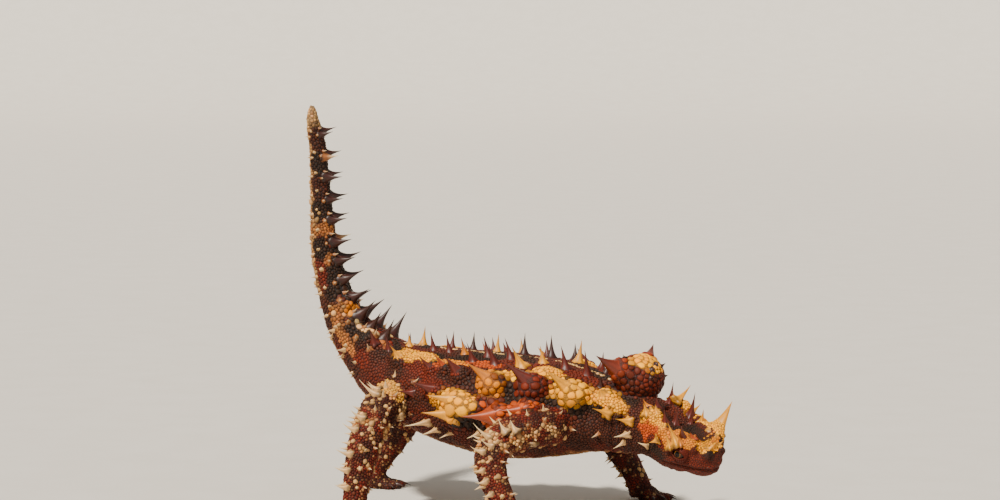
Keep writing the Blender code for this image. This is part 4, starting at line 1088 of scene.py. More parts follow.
# Back thorns of the near side and of the far one: place, angle, length, foot radius, lean and colour.
BACK_THORNS = (
    (1.0, 10, 3.2, 1.6, 0.2, OCHRE),
    (9.5, 11, 4.4, 1.6, 0.2, RUSSET),
    (14.8, 11, 4.2, 1.6, 0.2, RUSSET),
    (20.0, 12, 4.2, 1.6, 0.3, GOLD),
    (27.5, 12, 4.9, 1.9, 0.3, RUSSET),
    (35.0, 12, 5.0, 1.9, 0.4, RUSSET),
    (45.0, 13, 4.2, 1.8, 0.3, OCHRE),
    (51.0, 13, 5.4, 2.0, 0.4, RUSSET),
    (56.5, 13, 6.0, 1.9, 0.3, RUSSET),
    (25.0, 26, 4.6, 1.8, 0.4, RUSSET),
    (32.0, 26, 4.8, 1.9, 0.4, RUSSET),
    (41.0, 25, 5.0, 2.4, 0.5, OCHRE),
    (61.5, 26, 3.0, 1.4, 0.3, BROWN),
)
FAR_BACK_THORNS = (
    (3.0, 12, 4.6, 1.8, 0.0, OCHRE),
    (12.0, 11, 4.2, 1.5, 0.0, RUSSET),
    (18.0, 12, 4.4, 1.6, 0.0, BROWN),
    (25.0, 13, 4.6, 1.6, 0.0, OCHRE),
    (33.0, 13, 5.2, 1.8, 0.0, BROWN),
    (42.0, 13, 5.4, 1.9, 0.1, BROWN),
    (49.5, 13, 5.6, 2.2, 0.1, OCHRE),
    (57.5, 13, 3.6, 1.4, 0.1, BROWN),
    (22.0, 28, 3.8, 1.8, 0.3, RUSSET),
    (30.0, 28, 4.2, 1.9, 0.3, OCHRE),
    (38.0, 28, 4.4, 2.0, 0.3, RUSSET),
    (46.0, 28, 4.2, 2.0, 0.3, BROWN),
    (54.0, 28, 4.4, 2.0, 0.3, RUSSET),
)
back = Heap()
for rows, side in ((BACK_THORNS, 1), (FAR_BACK_THORNS, -1)):
    for along, angle, length, radius, lean, colour in rows:
        thorn_on(back, body, along, side * angle, length, radius, lean, NEEDLE, colour, dulled(colour, 0.45))
back.piece("back_thorns", thorn_horn, "horn")
FLANK_LIFT = 0.18
flank = Heap()
for side in (1, -1):
    for along, angle, length, radius, lean, tint, cover in FLANK_THORNS:
        shape = BROAD if radius > BROAD_RADIUS else NEEDLE
        thorn_on(
            flank, body, along, side * angle, length, radius, lean, shape, TINTS[tint], tip_of(tint),
            lift=FLANK_LIFT * math.cos(math.radians(angle)), cover=cover, sides=20, flutes=5, fluting=0.16,
        )
flank.piece("flank_thorns", thorn_horn, "horn")

# The tail's thorns stand in whorls: broad dark ones in two staggered rows on its upper side, and small pale
# ones between and below them.
# Angle, spacing, length, foot radius, shift between the sides, and the colours of foot and tip of each row.
TAIL_ROWS = (
    (19, 5.6, 6.4, 2.6, 0.6, BROWN, DULL_TIP),
    (42, 5.6, 2.2, 1.1, -2.8, TAN, PALE_TIP),
    (72, 5.6, 2.2, 1.2, 0.8, TAN, PALE_TIP),
    (104, 5.0, 1.7, 1.1, -1.2, CREAM, PALE_TIP),
    (134, 5.0, 2.6, 1.0, 1.2, CREAM, PALE_TIP),
    (164, 5.6, 1.6, 0.9, 0.0, TAN, PALE_TIP),
)
FLARED = ((0.0, 1.0), (0.10, 0.76), (0.22, 0.53), (0.36, 0.35), (0.52, 0.21), (0.70, 0.11), (0.88, 0.045))
TAIL_FIRST, TAIL_LAST, TAIL_TAPER = -70.2, -8.5, 0.42
TAIL_LEAN, TAIL_LIFT, TAIL_SCATTER, TAIL_TURN, TAIL_SIZES = -0.16, 0.16, 0.4, 4, (0.88, 1.12)
DARK_SHARE, TOP_ROW = 0.88, 40
tail = Heap()
for angle, spacing, length, radius, shift, colour, tip in TAIL_ROWS:
    for along in body.steps(spacing, TAIL_FIRST, TAIL_LAST):
        for side in (1, -1):
            size = (1 + TAIL_TAPER * along / -TAIL_FIRST) * chance.uniform(*TAIL_SIZES)
            place = along + side * shift / 2 + chance.uniform(-TAIL_SCATTER, TAIL_SCATTER)
            dark = chance.random() < DARK_SHARE or angle > TOP_ROW
            foot, end = (colour, tip) if dark else (TAN, PALE_TIP)
            turn = side * (angle + chance.uniform(-TAIL_TURN, TAIL_TURN))
            thorn_on(
                tail, body, place, turn, length * size, radius * size, TAIL_LEAN, FLARED, foot, end,
                lift=TAIL_LIFT,
            )
tail.piece("tail_thorns", thorn_horn, "horn")

# The legs' thorns are cream and point out and back from the outer side and the rear edge, longest at the
# elbow and the heel, with low cream cones between them.
# Angle, length, foot radius and colour of each row.
LEG_ROWS = (
    (0, 1.7, 1.0, CREAM),
    (66, 2.2, 1.0, CREAM),
    (100, 2.4, 0.95, CREAM),
    (-44, 1.5, 1.0, TAN),
    (-92, 1.3, 0.9, TAN),
    (138, 1.5, 0.9, TAN),
)
# The long curved thorns of a leg's rear edge: place along the leg, angle, length and foot radius.
REAR_THORNS = {
    "foreleg": (
        (18, -112, 2.6, 1.3),
        (22, -28, 2.2, 1.4),
        (24, -4, 2.6, 1.5),
        (27, 28, 4.4, 1.2),
        (28.5, 8, 2.6, 1.1),
        (30, 34, 3.0, 1.2),
        (33.8, 44, 2.8, 1.1),
        (36.4, 46, 3.0, 1.2),
        (39.6, 50, 2.5, 1.1),
        (42.4, 50, 2.2, 1.0),
    ),
    "hindleg": (
        (14, 22, 2.8, 1.2),
        (17, 12, 5.0, 1.5),
        (24, 28, 3.3, 1.4),
        (26.6, 46, 3.3, 1.4),
        (32, 52, 3.7, 1.4),
        (36, 58, 3.5, 1.3),
        (40, 54, 3.0, 1.2),
        (43.4, 54, 2.4, 1.1),
    ),
}
REAR_BEND = Vector((0, 0, 0.34))
REAR_SINK = 0.3
# Shares of the outward way, the rearward way and the bend in the way that a rear thorn starts.
REAR_OUT, REAR_BACK, REAR_DOWN = 0.55, 0.75, 0.5
LEG_THORN_SPACING, LEG_THORN_FIRST, LEG_THORN_STAGGER, LEG_THORN_LAST = 4.6, 8.0, 2.2, 3.0
LEG_THORN_LOWEST, LEG_THORN_BURIED, LEG_THORN_LEAN = 4.5, 1.2, -0.2
LEG_THORN_TURN, LEG_THORN_SIZES = 10, (0.8, 1.2)
limb = Heap()
for name, leg in legs.items():
    side = 1 if name.endswith("right") else -1
    for number, (angle, length, radius, colour) in enumerate(LEG_ROWS):
        first = LEG_THORN_FIRST + (number % 2) * LEG_THORN_STAGGER
        for along in leg.steps(LEG_THORN_SPACING, first, leg.knots[-1] - LEG_THORN_LAST):
            turn = side * (angle + chance.uniform(-LEG_THORN_TURN, LEG_THORN_TURN))
            root = leg.point(along, turn)
            if root.z < LEG_THORN_LOWEST:
                continue
            if skin_tree.find_nearest(in_metres(root))[3] <= LEG_THORN_BURIED * MM:
                size = chance.uniform(*LEG_THORN_SIZES)
                thorn_on(
                    limb, leg, along, turn, length * size, radius * size, LEG_THORN_LEAN, NEEDLE, colour,
                    PALE_TIP,
                )
    for along, angle, length, radius in REAR_THORNS[name.split("_")[0]]:
        outward = leg.outward(along, side * angle)
        rearward = leg.outward(along, side * 90)
        way = (outward * REAR_OUT + rearward * REAR_BACK - REAR_BEND * REAR_DOWN).normalized()
        root = settle(leg.point(along, side * angle), outward) - way * REAR_SINK
        length_in_all = length + REAR_SINK
        grow_thorn(limb, root, way, REAR_BEND, length_in_all, radius, FLARED, CREAM, PALE_TIP, 14, 5, 0.14)
        keep_free(root, way, length, radius)
limb.piece("leg_thorns", thorn_horn, "horn")

# The head's thorns and horns. A crescent horn stands over each eye on a granular brow, and smaller thorns
# crown the back of the head. The knob behind the head bears two stout horns.
# Side (0 for both), place from the point between the eyes (ahead, to the side, above), the way it points
# (ahead, outwards, up), length, foot radius and colour.
HEAD_THORNS = (
    (1, (-13.6, 5.9, 4.6), (-0.3, 0.30, 0.86), 2.1, 1.5, "ochre"),
    (1, (-12.2, 5.0, 4.9), (-0.2, 0.25, 0.92), 1.5, 1.1, "ochre"),
    (-1, (-13.2, 4.4, 4.6), (-0.05, 0.90, 0.40), 5.6, 1.9, "ochre"),
    (-1, (-10.6, 5.4, 3.6), (0.0, 0.90, 0.30), 3.2, 1.3, "ochre"),
    (0, (-15.4, 4.6, 5.0), (-0.6, 0.4, 0.7), 2.0, 1.2, "gold"),
    (0, (-7.4, 8.0, 0.4), (-0.45, 0.62, -0.55), 2.0, 1.3, "ochre"),
    (1, (-2.2, 6.1, 2.5), (-0.62, 0.22, 0.80), 4.6, 1.7, "ochre"),
    (1, (-3.6, 7.0, 1.4), (-0.38, 0.30, 0.86), 3.2, 1.2, "ochre"),
    (1, (-0.9, 5.6, 2.9), (-0.30, 0.30, 0.90), 2.2, 1.2, "gold"),
    (-1, (-3.2, 6.4, 1.4), (-0.50, 0.60, 0.60), 3.4, 2.4, "ochre"),
    (1, (-0.2, 4.2, 3.8), (-0.1, 0.4, 0.9), 1.3, 1.3, "orange"),
    (1, (0.3, 3.2, 4.0), (0.2, 0.2, 1.0), 1.2, 1.2, "ochre"),
    (-1, (-14.6, 2.4, 5.0), (-0.02, 0.10, 1.0), 5.2, 1.6, "russet"),
    (1, (-14.2, 2.4, 5.0), (-0.2, 0.1, 0.95), 3.0, 1.3, "russet"),
    (-1, (-9.1, 4.6, 3.4), (0.02, 0.10, 1.0), 5.6, 1.7, "russet"),
    (1, (-9.6, 4.4, 3.6), (-0.1, 0.2, 0.95), 3.4, 1.4, "russet"),
    (1, (-7.6, 1.7, 4.4), (0.02, -0.10, 1.0), 3.6, 1.7, "russet"),
    (-1, (-6.4, 2.0, 4.4), (0.0, 0.1, 1.0), 2.4, 1.2, "russet"),
    (-1, (-4.9, 4.7, 3.6), (0.05, 0.0, 1.0), 3.0, 1.3, "ochre"),
    (0, (4.0, 1.0, 2.8), (0.5, -0.5, 0.8), 2.2, 1.1, "ochre"),
    (0, (3.4, 3.2, 2.4), (0.3, 0.7, 0.6), 1.0, 0.8, "ochre"),
    (0, (-10.6, 7.0, -2.4), (-0.8, 0.5, -0.1), 2.2, 1.0, "cream"),
)
HEAD_BEND = Vector((-0.1, 0, 0.12))
HEAD_SINK = 0.4
crown = Heap()
for only_side, place, pointing, length, radius, tint in HEAD_THORNS:
    for side in (only_side,) if only_side else (1, -1):
        way = HEAD_TURN @ Vector((pointing[0], -side * pointing[1], pointing[2])).normalized()
        root = head_place(place[0], -side * place[1], place[2])
        root = Vector(skin_tree.find_nearest(in_metres(root))[0]) / MM + CENTRE
        shape = BROAD if radius > BROAD_RADIUS else NEEDLE
        grow_thorn(
            crown, root - way * HEAD_SINK, way, HEAD_TURN @ HEAD_BEND, length + HEAD_SINK, radius, shape,
            TINTS[tint], tip_of(tint), 20, 5, 0.22,
        )
        keep_free(root, way, length, radius)
crown.piece("head_thorns", thorn_horn, "horn")
for name, (root, tip, radius, _, tint) in BROW_HORNS.items():
    root, way, bend, length = brow_line(root, tip)
    horn = Heap()
    grow_thorn(
        horn, root, way, bend, length, radius, CRESCENT, TINTS[tint], dulled(TINTS[tint], 0.35),
        sides=28, flutes=7, fluting=0.08, flat=BROW_FLAT, start=HEAD_TURN @ Vector((1, 0, 0)),
    )
    keep_free(root, (way + bend * BROW_COVER).normalized(), length, radius, BROW_COVER, ringed=False)
    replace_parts(horn.piece("brow_horn_" + name + "_keratin", thorn_horn, "horn"), "brow_horn_" + name)
KNOB_BEND = Vector((0, 0, 0.12))
for name in KNOB_HORNS:
    root, way = knob_horn(name)
    horn = Heap()
    grow_thorn(horn, root, way, KNOB_BEND, *KNOB_HORN, BROAD, RUST, dulled(RUSSET, 0.5), 24, 7, 0.08)
    keep_free(root, way, *KNOB_HORN, KNOB_HORN_COVER)
    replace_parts(horn.piece("knob_horn_" + name + "_keratin", thorn_horn, "horn"), "knob_horn_" + name)
# The ways that the knob's small thorns point.
KNOB_THORNS = (
    (0.8, 0.0, 0.6),
    (0.7, 0.6, 0.5),
    (0.9, -0.35, 0.45),
    (-0.7, 0.0, 0.75),
    (0.9, 0.5, 0.1),
    (0.9, -0.5, 0.1),
    (0.35, -0.95, 0.1),
    (-0.9, 0.2, 0.2),
)
KNOB_THORN_BEND = Vector((0, 0, 0.15))
KNOB_THORN_LENGTHS, KNOB_THORN_RADIUS, KNOB_THORN_SINK = (1.1, 1.7), 0.9, 0.1
# Length and radius of the room that scales leave to each.
KNOB_THORN_ROOM = (2.0, 1.0)
knob = Heap()
for place in KNOB_THORNS:
    way = KNOB_TURN @ Vector(place).normalized()
    root = KNOB_PLACE + way * (KNOB_RADII.z - KNOB_THORN_SINK)
    length = chance.uniform(*KNOB_THORN_LENGTHS)
    grow_thorn(knob, root, way, KNOB_THORN_BEND, length, KNOB_THORN_RADIUS, NEEDLE, BROWN, DULL_TIP)
    keep_free(root, way, *KNOB_THORN_ROOM)
knob.piece("knob_thorns", thorn_horn, "horn")

# The scales. Thousands of small horny beads and plates pave the hide, each a rounded polygon that fits
# against its neighbours, finest on the face, coarse on the knob, and largest in a rosette round each thorn.
CANDIDATES = 11.0
SCALE_SPREAD = (0.78, 1.22)
PLATE_GROWTH, PLATE_RING, KNOB_PLATE_GROWTH = 0.5, 0.8, 0.3
KNOB_GROWTH, KNOB_SHARE, TAIL_TOP = 1.6, 0.0016, 64
BARE_FOOT = 0.82
SOLE_EDGE = 0.25
SETTLE_ROUNDS, SETTLE_ROOM, SETTLE_STEP = 3, 0.62, 0.22
NEIGHBOURS = 10
LONGEST_REACH = 0.95
BAKE_PATCH = 0.0015
# The body's scale widths: the place from which each holds, towards the snout.
BODY_SCALES = ((60, 0.60), (76, 0.54), (87, 0.42))
SCALE_WIDTH, BELLY_SCALE, SOLE_SCALE, KNOB_SCALE = 0.64, 0.78, 0.52, 0.95
LEG_SCALE, LEG_KNOB_GROWTH = 0.58, 0.20
LAST_TAIL_SCALE, UNDERSIDE, SOLE_TOP = -20, 125, 3.2
TAIL_SEAM, NECK_SEAM, BELLY_SEAM = -18, 72, 100
# The largest plates, on each flank's shield: place, angle and width.
SHIELD_PLATES = (
    (22.6, 92, 2.3),
    (26.2, 90, 2.7),
    (30.0, 89, 2.5),
    (32.8, 84, 1.8),
    (25.0, 84, 1.7),
    (28.4, 82, 1.8),
)


def tree_of(places):
    """A tree that finds the places nearest to any point."""
    tree = KDTree(len(places))
    for number, place in enumerate(places):
        tree.insert(place, number)
    tree.balance()
    return tree


def neighbours(places, count):
    tree = tree_of(places)
    return np.array([[hit[1] for hit in tree.find_n(place, count + 1)][1:] for place in places])


def on_skin(place):
    """The skin's point nearest to a place, and its outward way there."""
    spot, way, _, _ = skin_tree.find_nearest((place - np.array(CENTRE)) * MM)
    return np.array(spot) / MM + np.array(CENTRE), np.array(way)


def scale_sizes(points, part, along, angle):
    """How wide the scales are at each point."""
    on_body = part == 0
    on_leg = (part > 0) & (part < KNOB_PART)
    on_belly = on_body & (np.abs(angle) > UNDERSIDE) & (along >= LAST_TAIL_SCALE)
    size = np.where(on_belly, BELLY_SCALE, SCALE_WIDTH)
    for first, width in BODY_SCALES:
        size = np.where(on_body & (along > first), width, size)
    size = np.where(on_leg, LEG_SCALE + LEG_KNOB_GROWTH * pale_patches(points, part, angle), size)
    size = np.where(on_leg & (points[:, 2] < SOLE_TOP), SOLE_SCALE, size)
    size = np.where(part == KNOB_PART, KNOB_SCALE, size)
    tree = tree_of([root for root, _ in plated_roots])
    _, nearest, distance = zip(*(tree.find(point) for point in points))
    radius = np.array([row[1] for row in plated_roots])[list(nearest)]
    growth = PLATE_GROWTH * radius * hill(np.array(distance) - radius, PLATE_RING * radius)
    return size * (1 + growth * np.where(part == KNOB_PART, KNOB_PLATE_GROWTH, 1.0))


def swelling_share(part, along, angle):
    """The share of scales that swell into a pale knob, on each part of the hide."""
    on_tail = (part == 0) & (along < TAIL_SEAM) & (np.abs(angle) > TAIL_TOP)
    on_leg = (part > 0) & (part < KNOB_PART)
    return np.where(on_tail | on_leg, KNOB_SHARE, 0.0)


def candidates():
    """Many random places on the skin, with the way outwards, the width and whether the scale there swells."""
    draw = np.random.default_rng(11)
    mesh = skin.data
    mesh.calc_loop_triangles()
    corners = np.empty(len(mesh.loop_triangles) * 3, np.int32)
    mesh.loop_triangles.foreach_get("vertices", corners)
    corners = corners.reshape(-1, 3)
    points = read_points(mesh)
    size = scale_sizes(points, skin_part, skin_along, skin_angle)
    a, b, c = (points[corners[:, k]] for k in range(3))
    width = size[corners].mean(axis=1)
    crowd = np.linalg.norm(np.cross(b - a, c - a), axis=1) / 2 / width**2
    total = int(crowd.sum() * CANDIDATES)
    picked = np.searchsorted(np.cumsum(crowd) / crowd.sum(), draw.random(total))
    u, v = draw.random(total), draw.random(total)
    over = u + v > 1
    u, v = np.where(over, 1 - u, u), np.where(over, 1 - v, v)
    weights = np.stack([1 - u - v, u, v], axis=1)[:, :, None]
    places = (points[corners[picked]] * weights).sum(axis=1)
    ways = (read_normals(mesh)[corners[picked]] * weights).sum(axis=1)
    ways /= np.linalg.norm(ways, axis=1)[:, None]
    width = width[picked] * draw.uniform(*SCALE_SPREAD, total)
    first = corners[picked, 0]
    swollen = draw.random(total) < swelling_share(skin_part[first], skin_along[first], skin_angle[first])
    width = np.where(swollen, width * KNOB_GROWTH, width)
    order = np.argsort(~swollen, kind="stable")
    return places[order], ways[order], width[order], swollen[order]


def sow_scales():
    """Places for scales all over the skin, each at least its own width from the next."""
    places, ways, width, swollen = candidates()
    large = [(along, side * angle, wide) for along, angle, wide in SHIELD_PLATES for side in (1, -1)]
    outwards = [body.outward(along, angle) for along, angle, _ in large]
    seats = [settle(body.point(*row[:2]), outward) for row, outward in zip(large, outwards)]
    places = np.concatenate([seats, places])
    ways = np.concatenate([outwards, ways])
    width = np.concatenate([[row[2] for row in large], width])
    swollen = np.concatenate([np.zeros(len(large), bool), swollen])
    tree = tree_of(places)
    alive = places[:, 2] > SOLE_EDGE
    for root, way, length, radius, cover in bare_thorns:
        for place, number, _ in tree.find_range(root + way * length / 2, length / 2 + radius):
            onward = (place - root).dot(way)
            aside = (place - root - way * onward).length
            if cover > 0:
                bare = onward > length * cover and aside < radius * width_at(BROAD, onward / length) + 0.5
            else:
                bare = aside < radius * BARE_FOOT
            if bare:
                alive[number] = False
    for side in (1, -1):
        nostril = head_place(NOSTRIL_PLACE[0], side * NOSTRIL_PLACE[1], NOSTRIL_PLACE[2])
        for _, number, _ in tree.find_range(nostril, NOSTRIL_RADIUS):
            alive[number] = False
    kept = []
    for number in range(len(places)):
        if alive[number]:
            kept.append(number)
            for _, other, _ in tree.find_range(places[number], width[number]):
                alive[other] = False
    return settled(places[kept], ways[kept], width[kept]) + (swollen[kept],)


def settled(places, ways, width):
    """The same scales after they have pushed each other into even spacing over the skin."""
    for _ in range(SETTLE_ROUNDS):
        nearest = neighbours(places, 8)
        away = places[:, None, :] - places[nearest]
        distance = np.linalg.norm(away, axis=2)
        room = (width[:, None] + width[nearest]) * SETTLE_ROOM
        push = np.clip(room - distance, 0, None) / np.maximum(distance, 1e-6)
        places = places + (away * push[:, :, None]).sum(axis=1) * SETTLE_STEP
        for number, place in enumerate(places):
            places[number], way = on_skin(place)
            ways[number] = ways[number] * 0.5 + way * 0.5
        ways = ways / np.linalg.norm(ways, axis=1)[:, None]
    return places, ways, width


def fit_edges(places, ways, width, sides):
    """Each scale's rim, that reaches as far as its neighbours leave room, and its fall below the middle."""
    nearest = neighbours(places, NEIGHBOURS)
    helper = np.where(np.abs(ways[:, 2:3]) < 0.9, [[0.0, 0.0, 1.0]], [[1.0, 0.0, 0.0]])
    first = np.cross(helper, ways)
    first /= np.linalg.norm(first, axis=1)[:, None]
    second = np.cross(ways, first)
    turn = np.arange(sides) * math.tau / sides + np.random.default_rng(5).random((len(places), 1)) * math.tau
    cosine, sine = np.cos(turn)[:, :, None], np.sin(turn)[:, :, None]
    away = places[nearest] - places[:, None, :]
    near_first = (away * first[:, None, :]).sum(axis=2)
    near_second = (away * second[:, None, :]).sum(axis=2)
    squared = near_first**2 + near_second**2
    share = width[:, None] / (width[:, None] + width[nearest])
    onward = near_first[:, None, :] * cosine + near_second[:, None, :] * sine
    reach = np.where(onward > 1e-3, (share * squared)[:, None, :] / np.maximum(onward, 1e-3), 1e9).min(axis=2)
    reach = np.minimum(reach, width[:, None] * LONGEST_REACH)
    rims = places[:, None, :] + (first[:, None, :] * cosine + second[:, None, :] * sine) * reach[:, :, None]
    for scale in rims:
        for number, corner in enumerate(scale):
            scale[number] = on_skin(corner)[0]
    offset = rims - places[:, None, :]
    fall = (offset * ways[:, None, :]).sum(axis=2)
    return offset - ways[:, None, :] * fall[:, :, None], fall, turn


def unwrap(part, along, angle):
    """Where each place lies on a flat unwrap of the skin: the body's tube, four leg strips and the knob."""
    flat = np.empty((len(part), 2))
    low, high = body.knots[0], body.knots[-1]
    flat[:, 0] = 0.02 + 0.96 * (along - low) / (high - low)
    flat[:, 1] = 0.02 + 0.62 * (angle + 180) / 360
    for number, line in enumerate(ALL_LINES[1:], 1):
        mine = part == number
        flat[mine, 0] = 0.02 + 0.22 * (number - 1) + 0.20 * along[mine] / line.knots[-1]
        flat[mine, 1] = 0.67 + 0.30 * (angle[mine] + 180) / 360
    mine = part == KNOB_PART
    flat[mine, 0] = 0.90 + 0.09 * (along[mine] + 180) / 360
    flat[mine, 1] = 0.67 + 0.30 * angle[mine] / 180
    return np.clip(flat, 0.002, 0.998)


# Scales are dry keratin with a dull sheen, gritty every 0.4 mm. Their colour runs with height from near black at
# the rim to a little paler than the marking on top: painted shade in the seams between the scales.
beads = marked_coat(
    "beaded_scales_painted_shade",
    {
        "height": HEIGHT,
        "grit": ("ShaderNodeTexNoise", "Fac", {"Scale": 2600.0, "Detail": 4.0, "Roughness": 0.7}),
    },
    (("height", 0.0, 0.75, 0.08, 1.08), ("grit", 0.3, 0.7, 0.86, 1.14)),
    ("grit", {"Strength": 0.3, "Distance": 0.00006}),
    0.58,
    0.2,
)
# Share of a scale's reach and of its height at each ring, and the depth that its rim is sunk.
SCALE_RINGS = ((0.99, 0.0), (0.90, 0.60), (0.55, 0.93))
SCALE_SIDES = 7
SCALE_SINK = 0.14
CAP_SHARPNESS = 2.5
LEG_SCALE_LEAN = 0.5
FLAT_HEIGHT, FLAT_FACE, FLAT_TAIL = 0.2, 86, -74.5
# Ranges of a scale's shade and tint, of the cream of a swollen one, and of the soiling on the tail.
SHADES, CASTS, CREAM_SHADES, TAIL_SHADES = (0.76, 1.20), (0.92, 1.08), (0.55, 1.0), (0.5, 1.08)
SWOLLEN_CREAM = 0.75
# Height against width: swollen, plain, less on a wide scale (from a width, over a spread), more on a pale
# one.
SWOLLEN_HEIGHT, PLAIN_HEIGHT, WIDE_LOSS, WIDE_FROM, WIDE_SPREAD, PALE_GAIN = 0.6, 0.34, 0.14, 0.7, 0.8, 0.22
HEIGHT_RANGE = (0.8, 1.25)
SWOLLEN_SHARPNESS, SHARPNESS_RANGE, PALE_SHARPER, LEG_SHARPER = 2.0, (0.9, 1.5), 1.6, 0.4
# The most that a leg scale's top is bleached, the power that makes that rare, and the bleaching elsewhere.
BLEACH_MOST, BLEACH_POWER, BLEACH_ELSEWHERE = 0.93, 8, 0.02
seeds, seed_ways, seed_widths, swollen = sow_scales()
seed_count = len(seeds)
seed_part, seed_along, seed_angle = locate(seeds)
seed_rims, seed_falls, seed_turns = fit_edges(seeds, seed_ways, seed_widths, SCALE_SIDES)
seed_spots = unwrap(seed_part, seed_along, seed_angle)
seed_pale = pale_patches(seeds, seed_part, seed_angle)
seed_colours = markings(seeds, seed_part, seed_along, seed_angle)
on_body = seed_part == 0
on_leg = (seed_part > 0) & (seed_part < KNOB_PART)
on_tail = on_body & (seed_along < TAIL_SEAM)
draw = np.random.default_rng(23)
seed_colours *= draw.uniform(*SHADES, (seed_count, 1)) * draw.uniform(*CASTS, (seed_count, 3))
pale = CREAM * draw.uniform(*CREAM_SHADES, (swollen.sum(), 1))
seed_colours[swollen] = pale * SWOLLEN_CREAM + seed_colours[swollen] * (1 - SWOLLEN_CREAM)
plain_height = PLAIN_HEIGHT - WIDE_LOSS * rise(seed_widths, WIDE_FROM, WIDE_SPREAD) + PALE_GAIN * seed_pale
seed_heights = np.where(swollen, SWOLLEN_HEIGHT, plain_height) * draw.uniform(*HEIGHT_RANGE, seed_count)
seed_heights[on_body & ((seed_along > FLAT_FACE) | (seed_along < FLAT_TAIL))] = FLAT_HEIGHT
seed_heights *= seed_widths
limb_ways = np.array([line.section(line.knots[-1] / 2)[2][:] for line in ALL_LINES])
seed_leans = limb_ways[np.minimum(seed_part, KNOB_PART - 1)] * LEG_SCALE_LEAN * on_leg[:, None]
plain_sharpness = draw.uniform(*SHARPNESS_RANGE, seed_count) + PALE_SHARPER * seed_pale + LEG_SHARPER * on_leg
seed_sharpness = np.where(swollen, SWOLLEN_SHARPNESS, plain_sharpness)
seed_colours[on_tail] *= draw.uniform(*TAIL_SHADES, (on_tail.sum(), 1))
bleached = draw.uniform(0.0, BLEACH_MOST, seed_count) ** BLEACH_POWER
seed_tips = blend(seed_colours, np.where(on_leg, bleached, BLEACH_ELSEWHERE), CREAM)


def pave(name, chosen, slot):
    """One piece of scales from the chosen places."""
    places, ways, rim, fall = seeds[chosen], seed_ways[chosen], seed_rims[chosen], seed_falls[chosen]
    turn, root, lean = seed_turns[chosen], seed_spots[chosen], seed_leans[chosen]
    height, sharpness = seed_heights[chosen], seed_sharpness[chosen]
    around = np.stack([np.cos(turn), np.sin(turn)], axis=2) * BAKE_PATCH
    rings, heights, spots = [], [], []
    for share, raised in SCALE_RINGS:
        up = height * raised**sharpness - (SCALE_SINK if raised == 0 else 0)
        outwards = fall * share**2 + up[:, None]
        ring = places[:, None, :] + rim * share + ways[:, None, :] * outwards[:, :, None]
        ring += (lean * (height * raised * raised)[:, None])[:, None, :]
        rings.append(ring)
        heights.append(np.full((len(places), SCALE_SIDES), raised))
        spots.append(root[:, None, :] + around * share)
    rings.append((places + ways * height[:, None] + lean * height[:, None])[:, None, :])
    heights.append(np.ones((len(places), 1)))
    spots.append(root[:, None, :])
    points = np.concatenate(rings, axis=1)
    corners = points.shape[1]
    faces = np.array(ring_faces(len(SCALE_RINGS), SCALE_SIDES, pointed=True))
    shift = (np.arange(len(places)) * corners)[:, None, None]
    heights = np.concatenate(heights, axis=1).ravel()
    colours, tips = (np.repeat(each[chosen], corners, axis=0) for each in (seed_colours, seed_tips))
    colours = blend(colours, heights**CAP_SHARPNESS, tips)
    spots = np.concatenate(spots, axis=1).reshape(-1, 2)
    heap = Heap()
    heap.add(points.reshape(-1, 3), (faces[None] + shift).reshape(-1, 3), colours, heights, spots)
    heap.piece(name, beads, slot)


trunk = on_body & (seed_along >= TAIL_SEAM) & (seed_along < NECK_SEAM)
pave("tail_scales", on_tail, "tail_skin")
pave("right_flank_scales", trunk & (seed_angle >= 0) & (seed_angle < BELLY_SEAM), "body_skin")
pave("left_flank_scales", trunk & (seed_angle < 0) & (seed_angle > -BELLY_SEAM), "body_skin")
pave("belly_scales", trunk & (np.abs(seed_angle) >= BELLY_SEAM), "body_skin")
pave("head_scales", on_body & (seed_along >= NECK_SEAM), "face_skin")
pave("knob_scales", seed_part == KNOB_PART, "knob_skin")
pave("right_leg_scales", (seed_part == 1) | (seed_part == 3), "limb_skin")
pave("left_leg_scales", (seed_part == 2) | (seed_part == 4), "limb_skin")

# The eyes. Each is a small wet ball, dark brown with an amber ring round a round pupil, set low under the
# brow and half closed by two thick, granular lids that wrap over it.
EYE_ALONG, EYE_ANGLE = 90.0, 80
EYE_RADIUS, EYE_STANDS_OUT = 2.05, 0.7
EYE_COLUMNS, EYE_RINGS = 40, 28
EYE_WAY = (0.12, 1.0, 0.12)
LID_OPENING = (1.82, 0.92)
LID_PINCH, LID_REACH, LID_COLUMNS = 0.35, 2.25, 66
LID_BEAD, LID_BEADS, LID_STAGGER = 0.09, 11, 9
LID_WIDEST = 0.995
# Each ring of the lids from the opening outwards: share of the way to the outer edge, distance past the
# ball's radius, and painted shade, darkest at the opening, lighter on each raised fold and darker in each trough
# between.
LID_ROWS = (
    (0.0, 0.02, 0.25), (0.0, 0.22, 0.5), (0.10, 0.34, 1.1), (0.22, 0.26, 0.8), (0.34, 0.34, 1.15),
    (0.46, 0.22, 0.7), (0.58, 0.32, 1.1), (0.70, 0.21, 0.7), (0.82, 0.29, 1.05), (0.94, 0.22, 0.8),
    (1.0, 0.19, 0.9), (1.12, 0.24, 1.0), (1.3, 0.34, 1.0),
)
# The iris from the pupil's middle to the side of the ball.
IRIS = (
    (0.0, "#050302"), (0.27, "#050302"), (0.30, "#7C4C1A"),
    (0.36, "#3A1E0C"), (0.52, "#160A05"), (1.0, "#100704"),
)


